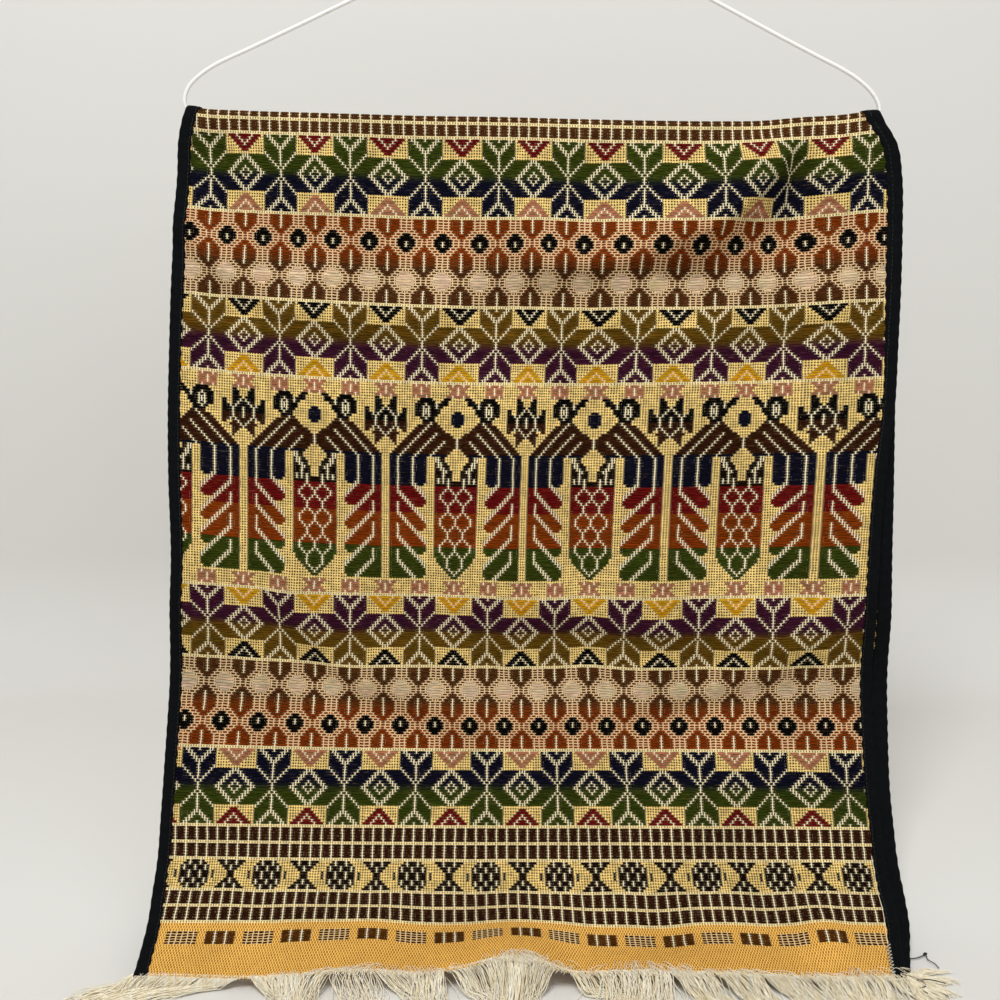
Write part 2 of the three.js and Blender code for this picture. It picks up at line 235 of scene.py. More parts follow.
# A swag hangs from one side to the other: the cloth swells above its line and tucks in below it.
SWAGS = [
    # points (x, row) from left to right, height, reach above the line, reach below it
    ([(10, 44), (45, 42), (78, 36), (104, 30), (126, 20), (141, 9), (150, -2), (154, -12)], 12.0, 32, 13),
    ([(96, 33), (110, 28), (126, 20), (141, 9), (150, -2)], 6.6, 22, 10),
    ([(-206, 38), (-176, 56), (-150, 63), (-118, 66), (-86, 66), (-60, 62)], 4.6, 24, 9),
    ([(30, 62), (56, 66), (74, 71), (100, 67), (150, 66), (186, 62)], 3.8, 22, 8),
    ([(-150, 172), (-120, 196), (-92, 206), (-50, 214), (-10, 216), (40, 213), (88, 207), (150, 197)],
     5.2, 30, 11),
    ([(4, 172), (60, 178), (110, 181), (170, 186)], 4.2, 24, 11),
]
HEM_LIFT = np.array([
    # x, how far the hem stands off what it lies on
    (-222, 0), (-192, -0.8), (-162, -2), (-133, 0.2), (-93, 3.2), (-67, 1.2), (-40, 5.6), (-17, 12.0),
    (2, 9.3), (18, 2.4), (40, 1.6), (57, 2.4), (75, 1.4), (96, 1.2), (141, -1.2), (165, -2), (207, -1.8),
])
# Near the hem the cloth also ripples, where it pushes against what it lies on.
HEM_RIPPLES = np.array([
    # x, how far the ripple stands forward
    (-222, 0.2), (-196, 0.6), (-175, 1), (-154, 1.4), (-135, 2.5), (-113, 3), (-91, 3.5), (-75, 1.2),
    (-58, 0), (-36, 0.8), (-25, 2.2), (-14, 3), (5, 2.4), (13, 1.6), (34, -1.8), (54, -2.6), (76, -3.2),
    (97, 0), (119, 0), (140, -1.2), (153, 0), (162, 2.4), (169, 3.2), (184, 0.8), (215, 0),
])


def swag_depth(x, row, points, height, above, below):
    """The swell of one swag, from the distance to its line and the side that a place lies on."""
    s = row * ROW
    nearest = np.full(np.shape(x), np.inf)
    upwards = np.zeros(np.shape(x))
    for (x0, row0), (x1, row1) in zip(points, points[1:]):
        dx, ds = x1 - x0, (row1 - row0) * ROW
        t = np.clip(((x - x0) * dx + (s - row0 * ROW) * ds) / (dx * dx + ds * ds), 0, 1)
        aside, down = x - x0 - t * dx, s - row0 * ROW - t * ds
        distance = np.hypot(aside, down)
        closer = distance < nearest
        side = (aside * ds - down * dx) / math.hypot(dx, ds) / np.maximum(distance, 1e-6)
        nearest, upwards = np.where(closer, distance, nearest), np.where(closer, side, upwards)
    reach = below + (above - below) * (0.5 + 0.5 * upwards)
    return height * np.exp(-(nearest / reach) ** 2)


def fold_depth(x, row):
    """How far the cloth stands forward of the plain hang."""
    x, row = np.broadcast_arrays(np.asarray(x, float), np.asarray(row, float))
    depth = np.zeros(x.shape)
    for swag in SWAGS:
        depth += swag_depth(x, row, *swag)
    for place, half, *heights in FOLDS:
        height = np.interp(row, FOLD_ROWS, heights)
        depth += height * np.exp(-((x - place) / half) ** 2)
    depth *= smooth(row, -5, 10) * (1 - smooth(row, 250, 285))
    ripple = 0.5 * np.sin(x / 9.5 + row / 31) + 0.35 * np.sin(x / 5.3 - row / 17 + 2)
    depth += ripple * smooth(row, -6, 6) * (1 - smooth(row, 270, 300))
    depth += eased(HEM_LIFT, 1, x) * smooth(row, 290, 315)
    depth += eased(HEM_RIPPLES, 1, x) * smooth(row, 272, 295) * (1 - smooth(row, 298, 311))
    return depth


# %% [markdown]
# The front flap's line in the YZ plane comes from adding up small steps at each level's lean. The back
# flap is the same line set back along its normal, so the two flaps lie together like the pages of a
# book.

# %% The surface of the cloth
STEP = 0.5
FLAP_LENGTH = 545        # a little more than a flap, from the top of the fold
HALF_WIDTH = 225
line_s = np.arange(0, FLAP_LENGTH, STEP)
line_row = BAR_ROW + (line_s - FOLD_ARC) / ROW
line_lean = np.where(line_s < FOLD_ARC, math.pi / 2 - line_s / FOLD_RADIUS,
                     np.radians(eased(LEVELS, LEAN, line_row)))
line_y = -np.concatenate(([0], np.cumsum(np.sin(line_lean[:-1]) * STEP)))
line_z = FOLD_MIDDLE + FOLD_RADIUS - np.concatenate(([0], np.cumsum(np.cos(line_lean[:-1]) * STEP)))


def level_of(row):
    """The front flap's level that a row of either flap hangs at."""
    return BAR_ROW + (np.abs(row - TOP_ROW) * ROW - FOLD_ARC) / ROW


def cloth_at(x, row, out):
    """Points of the cloth at x and a row, out millimetres off its middle. In metres."""
    x, row = np.broadcast_arrays(np.asarray(x, float), np.asarray(row, float))
    back = row < TOP_ROW
    s = np.abs(row - TOP_ROW) * ROW
    level = level_of(row)
    lean = np.interp(s, line_s, line_lean)
    y = np.interp(s, line_s, line_y)
    z = np.interp(s, line_s, line_z)
    forward, upward = -np.cos(lean), np.sin(lean)
    depth = fold_depth(x, level)
    y, z = y + forward * depth, z + upward * depth
    turning = back & (s < FOLD_ARC)
    falling = back & (s >= FOLD_ARC)
    wide = 2 * FOLD_RADIUS
    apart = np.where(falling, wide + (FLAP_GAP - wide) * smooth(s - FOLD_ARC, 0, FLAPS_MEET), 0)
    y = np.where(turning, -y, y - forward * apart)
    z = z - upward * apart
    forward = np.where(back, -forward, forward)
    upward = np.where(falling, -upward, upward)
    y, z = y + forward * out, z + upward * out
    sag = (eased(FOLD_LINE, 1, x) - FOLD_MIDDLE) * (1 - smooth(level, 0, 110))
    rise = np.where(x < 0, eased(LEVELS, RISE_LEFT, level), eased(LEVELS, RISE_RIGHT, level))
    z = z + sag + (np.abs(x) / HALF_WIDTH) ** 2 * rise
    x = x + np.where(back, eased(LEVELS, BACK_SHIFT, level), 0)
    return np.stack([x, y, z], axis=-1) * MM


print("front hem at", np.round(cloth_at(0, HEM_ROW, 0), 3))
print("back hem at", np.round(cloth_at(0, BACK_HEM_ROW, 0), 3))

# %% [markdown]
# Across the cloth the weave isn't spread evenly, because the hang draws it in at some columns. This
# table has the x of every 28th column, the middles of the stars, at five levels. Past the outermost
# stars the columns go on at their usual spacing and then crowd together under the binding.

# %% The columns of the weave
COLUMN = 1.6
FIRST_COLUMN, LAST_COLUMN = -15, 264
STAR_STEP = 28
STARS = np.array([
    # row, then the x of star 0 to star 9
    (14, -192.1, -149.8, -108.4, -64.1, -20.4, 20.8, 65.6, 111.5, 152.0, 198.8),
    (74, -197.4, -153.7, -110.5, -67.3, -22.3, 17.6, 63.1, 109.1, 153.2, 202.8),
    (182, -202.3, -157.3, -113.0, -70.3, -27.8, 14.2, 57.3, 103.5, 149.3, 197.1),
    (242, -208.2, -161.7, -116.8, -72.5, -28.0, 16.0, 59.3, 105.1, 149.6, 196.8),
    (274, -204.7, -161.0, -116.3, -73.0, -28.3, 16.2, 60.7, 105.4, 149.6, 196.5),
    (299, -202.5, -158.6, -114.7, -70.7, -26.8, 17.1, 61.0, 105.0, 148.9, 192.8),
])
BINDING = 7.5            # how far the binding laps onto the cloth
EDGE = 0.7               # from the binding's outside to the cloth's own edge


def columns_at(row):
    """The x of the lines between columns, from the left edge to the right one, at a row."""
    level = float(level_of(row))
    stars = np.array([eased(STARS, i, level) for i in range(1, STARS.shape[1])])
    left = float(eased(LEVELS, LEFT, level))
    right = float(eased(LEVELS, RIGHT, level))
    last = STAR_STEP * (len(stars) - 1)
    first_seen = max(-12.0, -(stars[0] - left - BINDING) / COLUMN)
    last_seen = min(last + 10.5, last + (right - BINDING - stars[-1]) / COLUMN)
    knots = [FIRST_COLUMN - 0.5, first_seen, *range(0, last + 1, STAR_STEP), last_seen, LAST_COLUMN + 0.5]
    places = [left + EDGE, left + BINDING, *stars, right - BINDING, right - EDGE]
    table = np.column_stack([knots, places])
    return eased(table, 1, np.arange(FIRST_COLUMN - 0.5, LAST_COLUMN + 1))


print("cloth is", round(np.ptp(columns_at(0)), 1), "mm wide at row 0, in", len(columns_at(0)) - 1, "columns")

# %% [markdown]
# ## The chart of the weave
# Brocade is drawn on point paper: a square for each place where a warp end crosses a pick. Here the
# paper is a set of short rules instead, one for each traditional band, and each rule answers one
# question: what lies on top at this column and this row? It can be a float of coloured yarn, a float
# with a cream warp end tied over it, a dash, the open ground, the denser golden ground of the ends, or
# a plain cream pick.

# %% Yarns and marks
MARKS = range(11)
FLOAT, TIE, GROUND, GOLDEN, LINE, DASH, LATTICE, FLOAT_END, FLOAT_START, FLOAT_LONE, GOLDEN_DASH = MARKS
MARK_SCALE = 16          # a mark is stored as a share of this
YARNS = {
    "cream": "#F2DA9C", "ground": "#E9C674", "golden": "#E4A740", "green": "#343D0E", "navy": "#10101F",
    "rust": "#7C3409", "dark brown": "#34190B", "umber": "#4C2B12", "olive": "#624610", "purple": "#3A1528",
    "pink": "#AC7050", "red": "#661210", "beige": "#D9BC98", "yellow": "#CC9414", "black": "#0C0908",
    "block": "#5A320C", "dash": "#3A1600", "soot": "#1A0E08",
}
yarn = {name: np.array(linear(colour)[:3]) for name, colour in YARNS.items()}


def tied(where, thread):
    """A float of this yarn, with a warp end tied over it where that is true."""
    return (TIE if where else FLOAT), thread


def mirrored(column, half):
    """Columns from the nearest middle of a motif that repeats, so that one rule draws both halves."""
    return abs((column + half) % (2 * half) - half)


def rect_rule(name):
    def cell(column, row):
        return tied(column % 4 == 0, yarn[name])
    return cell


def line_cell(column, row):
    return LINE, yarn["cream"]


def golden_cell(column, row):
    return GOLDEN, yarn["golden"]


print("columns from a middle:", [mirrored(column, 7) for column in range(15)])

# %% [markdown]
# The eight-pointed star is the commonest motif of such cloths. It stands between diamonds with a double
# outline, and small triangles fill the gaps above and below. The upper and lower halves are different
# yarns.

# %% Star bands
DIAMOND_EYE = {(0, 2), (1, 1), (2, 0)}


def star_rule(middle, upper, lower, upper_triangle, lower_triangle):
    def cell(column, row):
        r = row - middle
        a = abs(r)
        u = mirrored(column, 14)
        d = 14 - u
        share = {-1: 0.15, 0: 0.5, 1: 0.85}.get(r, 0.0 if r < 0 else 1.0)
        star = yarn[upper] * (1 - share) + yarn[lower] * share
        spine = u == 0 and (a <= 1 or 3 <= a <= 8 or a == 13)
        diagonal = u == a - 1 and 2 <= a <= 7
        if a <= 6:
            outline = d + a in (6, 7) or (d, a) in DIAMOND_EYE
            return tied(spine or diagonal or outline, star)
        if u <= 6:
            fork = a >= 9 and u in (a - 9, a - 8)
            return tied(spine or diagonal or fork, star)
        if a >= 8 and d <= a - 7:
            name = upper_triangle if r < 0 else lower_triangle
            # In the yellow triangles the thick yarn nearly hides the ties.
            tie = LATTICE if name == "yellow" else TIE
            return (tie if d == a - 10 else FLOAT), yarn[name]
        return GROUND, yarn["ground"]
    return cell


# %% [markdown]
# The leaf band has a row of black dots and a row of beige ones. Broad leaves fill the space between
# them, rust at the dark dots and brown at the pale ones, and each dot has a lattice of single ties and
# dashes around it.

# %% Leaf bands
def leaf_rule(first, step):
    def cell(column, row):
        k = (row - first) * step
        d = mirrored(column - 7, 7)
        to_black, to_beige = abs(k - 8), abs(k - 22)
        dk = min(to_black, to_beige)
        share = float(np.clip((k - 12.5) / 5, 0, 1))
        leaf = yarn["rust"] * (1 - share) + yarn["umber"] * share
        if dk <= 3 and d <= 3 and d + dk <= 4:
            return tied(k in (8, 9) and d == 0, yarn["black" if to_black < to_beige else "beige"])
        if dk >= 5:
            net = {0: LATTICE, 1: DASH, 2: LATTICE}
        elif dk == 4:
            net = {0: LATTICE, 1: LATTICE, 2: DASH, 3: LATTICE}
        elif dk == 0:
            net = {4: LATTICE, 5: DASH, 6: LATTICE, 7: DASH}
        else:
            net = {5 - dk: LATTICE, 6 - dk: DASH, 7 - dk: LATTICE}
        if d in net:
            return net[d], leaf * (0.75 if net[d] == DASH else 1.2)
        return tied(d == 7 and dk >= 4, leaf)
    return cell


# %% [markdown]
# Pairs of small crosses run between the stars and the birds. Below the birds they run again, upside
# down.

# %% Cross bands
def cross_rule(first):
    def cell(column, row):
        a = abs(row - first - 2)
        u = mirrored(column, 7)
        straight = (column + 7) // 14 % 2 == 0
        half = 3 if straight else 2 + a
        if u <= half:
            return tied((u == 0 and a <= 1) or (u == 2 and a == 2), yarn["pink"])
        return GROUND, yarn["ground"]
    return cell


# %% [markdown]
# The birds are the widest band. A pair faces a dot under its two beaks, and their tails meet in a
# tapering basket. Between the pairs stands a stem with a rosette on top, and the wings fall into
# feathers on both sides of it. u counts columns from the stem and v from the dot, so one rule draws all
# four quarters.

# %% The bird band, piece by piece
BIRDS = 94               # its first row
BIRD_YARNS = [(BIRDS, "black"), (103, "dark brown"), (115, "navy"), (127, "red"), (137, "rust"),
              (150, "green")]
# Half widths of the open ground round the dot, row by row.
DOT_GROUND = [2, 3, 3, 5, 6, 6, 7, 8, 8, 7, 6, 5, 4, 2, 1, -1, -1, -1, -1, 1, 2, 3, 4, 4, 3, 2, 2, 1, 1, 1, 1]
BASKET_TIP = {153: 8, 154: 7, 155: 7, 156: 6, 157: 5, 158: 4, 159: 3, 160: 2, 161: 1}
HEAD = {94: (10, 14), 95: (9, 15), 96: (8, 16), 97: (6, 16), 98: (6, 16), 99: (6, 16), 100: (6, 16),
        101: (9, 14), 102: (9, 13), 103: (8, 13)}
BEAK = {94: (3, 5), 95: (4, 6), 96: (4, 7)}
EYE = {(16, row) for row in (96, 98, 99, 101)} | {(u, row) for u in (15, 17) for row in range(97, 101)}
FEATHERS = [(115, 127), (124, 135), (132, 144), (141, 153), (150, 162)]
QUILLS = [(116, 129), (133, 137), (141, 146), (151, 155)]
# The rosette row by row, drawn out from the stem: # is its yarn and o is a tie.
ROSETTE = [
    "...##....", "..###....", "..###....", ".####....", "#o###..##", "##o##..##", "###o#o###", "o###o####",
    "o###o####", "o###o####", "o###o####", "###o#o###", "##o##..##", "#o####...", "o####....", "..###....",
    "...##....", "....#....",
]


def basket_tie(v, row):
    """The net of cream hexagons on the basket, ten rows high and six columns wide."""
    if row <= 127:
        return v == 3
    if row >= 154:
        return v == {158: 2, 159: 1, 160: 0}.get(row, 3) and row <= 160
    phase = (row - 124) % 10
    across = {0: (3,), 1: (3,), 2: (3,), 3: (2, 4), 4: (1, 5), 8: (1, 5), 9: (2, 4)}.get(phase, (0, 6))
    return v in ((2, 4) if row == 128 else (1, 5) if row == 129 else across)


def bird_cell(column, row):
    u = mirrored(column - 14, 28)
    v = 28 - u
    thread = yarn[[name for start, name in BIRD_YARNS if start <= row][-1]]
    ground = (GROUND, yarn["ground"])
    if row == 162:
        return ground
    if 99 <= row <= 104 and v <= (1 if row in (99, 104) else 2):
        return FLOAT, yarn["navy"]
    down = row - BIRDS
    if down < len(ROSETTE) and u < 9 and ROSETTE[down][u] != ".":
        return tied(ROSETTE[down][u] == "o", thread)
    if down < len(DOT_GROUND) and v <= DOT_GROUND[down]:
        return ground
    if row <= 103:
        low, high = HEAD[row]
        beak_low, beak_high = BEAK.get(row, (99, 99))
        if beak_low <= v <= beak_high:
            return FLOAT, thread
        if low <= v <= high:
            eye = (u, row) in EYE or (v == 8 and row in (96, 97))
            return tied(eye or (row == 103 and u == 18), thread)
        return ground
    if row <= 115:
        if u + row < 116.5:
            return ground
        wing = u <= {121: 17, 127: 20, 133: 23}.get(u + row, -1)
        return tied(wing or (v == 0 and row <= 112), thread)
    return tail_cell(u, v, row, thread, ground)


def tail_cell(u, v, row, thread, ground):
    """The lower part of the band: stem, feathers and basket."""
    if u <= 1 or 17 <= u <= 19:
        return ground
    if u > 19:
        thread = yarn["soot"] if row <= 126 else thread
        if row >= 153 and v > BASKET_TIP.get(row, 8):
            return ground
        leg = 116 <= row <= 121 and v in (9 - round((row - 115) * 0.6), 8 - round((row - 115) * 0.6))
        foot = (122 <= row <= 125 and v == 5) or (row in (124, 125) and v in (3, 7))
        return tied(leg or foot or (row >= 125 and basket_tie(v, row)), thread)
    quill = (u == 5 and any(start <= row <= end for start, end in QUILLS)) or (u == 11 and row <= 126)
    for offset, notch in FEATHERS:
        rib = row - offset
        if row >= notch and u > rib + 1 and rib >= 11:
            return ground
        if row == notch - 1 and u == 16:
            return ground
        starts_at = 11 if offset == 115 else 5
        if rib in (u, u - 1) and rib >= starts_at:
            return TIE, thread
    return tied(quill, thread)


print("yarns of the birds:", dict(BIRD_YARNS))
# %% [markdown]
# Near each end come a band of crosses and rosettes, and then a row of small blocks in the golden
# ground.

# %% End bands
def knot_cell(column, row):
    """Crosses at x and rosettes at u, mirrored about the middle row. Small bars stand between them."""
    a = abs(row - 274)
    u = mirrored(column, 14)
    x = 14 - u
    if x <= (1, 1, 2, 3, 4, 5)[a]:
        return tied((x == 2 and a >= 4) or (x == 0 and a in (2, 3)), yarn["soot"])
    if u <= (5, 5, 5, 5, 4, 3)[a]:
        return tied(u in (0, 4) if a in (2, 3) else u == 2, yarn["soot"])
    if u == 7 and a <= 1:
        return FLOAT, yarn["soot"]
    return GROUND, yarn["ground"]


def block_cell(column, row):
    """Blocks of brown floats at x, and between them blocks of dashes at u."""
    u = mirrored(column, 14)
    x = 14 - u
    if x <= 5:
        return tied(x == 2, yarn["block"])
    return ((GOLDEN_DASH if u % 2 else LATTICE), yarn["dash"]) if u <= 5 else golden_cell(column, row)


print("first columns of the blocks:", [block_cell(column, 298)[0] for column in range(15)])

# %% The order of the bands, from the bar to the front hem
BANDS = [
    (-8, rect_rule("umber")), (-5, line_cell), (-4, rect_rule("umber")), (0, line_cell),
    (1, star_rule(14, "green", "navy", "red", "pink")), (28, line_cell),
    (29, leaf_rule(29, 1)), (60, line_cell),
    (61, star_rule(74, "olive", "purple", "black", "yellow")), (88, line_cell), (89, cross_rule(89)),
    (BIRDS, bird_cell), (163, cross_rule(163)), (168, line_cell),
    (169, star_rule(182, "purple", "olive", "yellow", "black")), (196, line_cell), (197, leaf_rule(227, -1)),
    (228, line_cell), (229, star_rule(242, "navy", "green", "pink", "red")), (256, line_cell),
    (257, rect_rule("dark brown")), (262, line_cell), (263, rect_rule("dark brown")), (268, line_cell),
    (269, knot_cell), (280, line_cell), (281, rect_rule("dark brown")), (286, line_cell),
    (287, rect_rule("dark brown")), (292, line_cell),
    (293, golden_cell), (296, block_cell), (301, golden_cell),
]
LAST_LINE = 292          # below this cream line the ground is golden
COLUMNS = LAST_COLUMN - FIRST_COLUMN + 1
ROWS = HEM_ROW - BACK_HEM_ROW + 1
MIDDLE_ROW = -7          # the runner's own middle, where its two halves mirror each other


def cell_of(column, row):
    half_row = row if row >= MIDDLE_ROW else 2 * MIDDLE_ROW - row
    rule = [found for start, found in BANDS if start <= half_row][-1]
    return rule(column, half_row)


DEPTH_SPREAD, HUE_SPREAD = 0.08, 0.022        # how unevenly the yarn of each pick took its dye
marks = np.zeros((ROWS, COLUMNS), int)        # what lies on top in each square
colours = np.zeros((ROWS, COLUMNS, 3))
for j in range(ROWS):
    shade = 1 + DEPTH_SPREAD * noise.standard_normal() + HUE_SPREAD * noise.standard_normal(3)
    for i in range(COLUMNS):
        mark, colour = cell_of(i + FIRST_COLUMN, j + BACK_HEM_ROW)
        marks[j, i] = mark
        colours[j, i] = colour * (shade if mark in (FLOAT, TIE, DASH) else 1)
colours = np.clip(colours, 0, 1)

# Cream picks show beside the last square of a float, so those squares get marks of their own.
open_left = np.roll(marks, 1, axis=1) != FLOAT
open_right = np.roll(marks, -1, axis=1) != FLOAT
floats = marks == FLOAT
marks[floats & open_left] = FLOAT_START
marks[floats & open_right] = FLOAT_END
marks[floats & open_left & open_right] = FLOAT_LONE
print("chart of", ROWS, "rows by", COLUMNS, "columns;", int(floats.sum()), "squares are floats")

# %% [markdown]
# ## The runner
# The cloth is one closed sheet. Its right side is a grid with a face for every two squares of the
# chart, and each face carries both squares as attributes: red, green and blue are the yarn, and alpha
# is the mark. The wrong side only shows the plain ground, so a coarse grid does for it, with more rows
# where the cloth bends. A long narrow face for each edge of the coarse rim closes the sheet, because a
# bridge would pair the two rims by count and cut across the bends. Floats stand a little proud, because
# the vertices lift there.

# %% Build the runner
PAIRS = COLUMNS // 2
WRONG_SIDE_SINK = 0.8    # keeps the coarse wrong side from coming through where the cloth bends
EDGE_WAVE = 0.12         # the selvedge is a little wavy, in millimetres
RELIEF = {FLOAT: 0.24, TIE: 0.1, GROUND: 0.0, GOLDEN: 0.03, LINE: 0.12, DASH: 0.04, LATTICE: 0.06,
          FLOAT_START: 0.2, FLOAT_END: 0.2, FLOAT_LONE: 0.16, GOLDEN_DASH: 0.03}
row_edges = np.arange(BACK_HEM_ROW - 0.5, HEM_ROW + 1)
x_at = np.array([columns_at(row) for row in row_edges])
relief = np.vectorize(RELIEF.get)(marks)
relief = np.pad(relief, ((1, 1), (2, 2)), mode="edge")
corner_relief = (relief[:-1] + relief[1:]) / 2
corner_relief = sum(corner_relief[:, k:corner_relief.shape[1] - 3 + k] for k in range(4)) / 4


def cloth_grid(mesh, lines, rows, out):
    """A grid of the cloth, shaped from a flat one: it runs along these column lines and row lines."""
    size = (len(lines) - 1, len(rows) - 1)
    made = bmesh.ops.create_grid(mesh, x_segments=size[0], y_segments=size[1], size=0.5)["verts"]
    u_layer, v_layer = mesh.verts.layers.float["weave_u"], mesh.verts.layers.float["weave_v"]
    wrong = mesh.verts.layers.float["wrong_side"]
    i = lines[[round((v.co.x + 0.5) * size[0]) for v in made]]
    j = rows[[round((0.5 - v.co.y) * size[1]) for v in made]]
    lift = out + (corner_relief[j, i] if out > 0 else 0)
    row = row_edges[j]
    inset = np.minimum(i, COLUMNS - i)
    wave = EDGE_WAVE * np.sin(row * 0.72 + np.sin(row / 9)) * np.exp(-inset / 6)
    lift = np.where(inset < 4, out, lift) + wave
    if out < 0:
        level = level_of(row)
        sink = smooth(inset, 4, 12) * smooth(level, 4, 16) * (1 - smooth(level, 298, 309))
        lift = lift - WRONG_SIDE_SINK * sink
    for vertex, place, column_line, row_line in zip(made, cloth_at(x_at[j, i], row, lift), i, j):
        vertex.co = place
        vertex[u_layer] = column_line
        vertex[v_layer] = row_line
        vertex[wrong] = float(out < 0)
    return {(int(a), int(b)): vertex for vertex, a, b in zip(made, i, j)}


def finished(name, mesh):
    """A named object from a bmesh, with its faces turned outwards."""
    bmesh.ops.recalc_face_normals(mesh, faces=mesh.faces)
    data = bpy.data.meshes.new(name)
    mesh.to_mesh(data)
    mesh.free()
    return placed(name, data)


def corner_values(data, values):
    """A value of each vertex, handed to each corner of each face."""
    corners = np.empty(len(data.loops), int)
    data.loops.foreach_get("vertex_index", corners)
    return values[corners]


print("relief from", corner_relief.min(), "to", corner_relief.max(), "mm")

# %% [markdown]
# The wrong side needs a row wherever the cloth bends, and few elsewhere. `bends` lists those levels,
# and the same levels are used on both flaps.

# %% Two grids make one closed sheet
HELPERS = ("weave_u", "weave_v", "wrong_side")
sheet = bmesh.new()
for helper in HELPERS:
    sheet.verts.layers.float.new(helper)
right = cloth_grid(sheet, np.arange(0, COLUMNS + 1, 2), np.arange(ROWS + 1), CLOTH / 2)
bends = [*range(0, 84, 4), *range(88, 168, 10), *range(174, 222, 5), *range(230, 286, 8), *range(286, 312, 3)]
turn_over = 2 * int(TOP_ROW) - 1
few_rows = sorted({0, ROWS, *(row - BACK_HEM_ROW for level in bends for row in (level, turn_over - level)),
                   *(row - BACK_HEM_ROW for row in range(turn_over, 0, 2))})
few_columns = range(0, COLUMNS + 1, 4)
wrong = cloth_grid(sheet, np.array(few_columns), np.array(few_rows), -CLOTH / 2)
for i in (0, COLUMNS):
    for low, high in zip(few_rows, few_rows[1:]):
        sheet.faces.new([right[i, j] for j in range(low, high + 1)] + [wrong[i, high], wrong[i, low]])
for j in (0, ROWS):
    for low, high in zip(few_columns, few_columns[1:]):
        sheet.faces.new([right[i, j] for i in range(low, high + 1, 2)] + [wrong[high, j], wrong[low, j]])
runner = finished("brocaded_runner", sheet)
print("runner:", len(runner.data.polygons), "faces")

# %% [markdown]
# The helper layers now become what the material reads: a UV map that counts columns and rows, and two
# colours for each face. A face of the wrong side, or of the rim, takes the plain ground of its end of
# the cloth.

# %% The chart goes onto the faces
data = runner.data
at_corners = []
for helper in HELPERS:
    values = np.empty(len(data.vertices))
    data.attributes[helper].data.foreach_get("value", values)
    at_corners.append(corner_values(data, values))
    data.attributes.remove(data.attributes[helper])
corner_u, corner_v, corner_wrong = at_corners
uv = data.uv_layers.new(name="weave")
uv.uv.foreach_set("vector", np.column_stack([corner_u, corner_v]).ravel())
starts, sizes = np.empty(len(data.polygons), int), np.empty(len(data.polygons), int)
data.polygons.foreach_get("loop_start", starts)
data.polygons.foreach_get("loop_total", sizes)
face_u = np.clip((np.add.reduceat(corner_u, starts) / sizes / 2).astype(int), 0, PAIRS - 1)
face_v = np.clip((np.add.reduceat(corner_v, starts) / sizes).astype(int), 0, ROWS - 1)
plain = np.add.reduceat(corner_wrong, starts) / sizes > 0.3
golden_end = level_of(face_v + BACK_HEM_ROW) > LAST_LINE
for side, name in enumerate(("left_square", "right_square")):
    layer = data.attributes.new(name, "FLOAT_COLOR", "FACE")
    square = 2 * face_u + side
    mark = np.where(plain, np.where(golden_end, GOLDEN, GROUND), marks[face_v, square])
    colour = np.where(plain[:, None], np.where(golden_end[:, None], yarn["golden"], yarn["ground"]),
                      colours[face_v, square])
    layer.data.foreach_set("color", np.column_stack([colour, mark / MARK_SCALE]).ravel())
print("runner:", int((sizes - 2).sum()), "triangles")

# %% [markdown]
# ## Hand-woven cotton with a brocade weft
# The real cloth is an open plain weave of cream cotton, with thicker coloured wefts laid in by hand.
# The shader finds its place inside one square of the chart from the UV map, and draws what the mark
# says: strands along a float, a rounded cream end over a tie, and a small hole at each corner of the
# open ground, painted dark as shade. Painted shade also darkens the sides of each strand, the grooves
# between picks, the slits of the golden ground and the sides of a line's cream beads, and a painted
# highlight runs down the pale warp ribs of the golden ground.

# %% The brocade's material
THREAD_BUMP = 0.4 * MM
STRAY = 0.55             # how far a thread strays from its place, in squares, from side to side


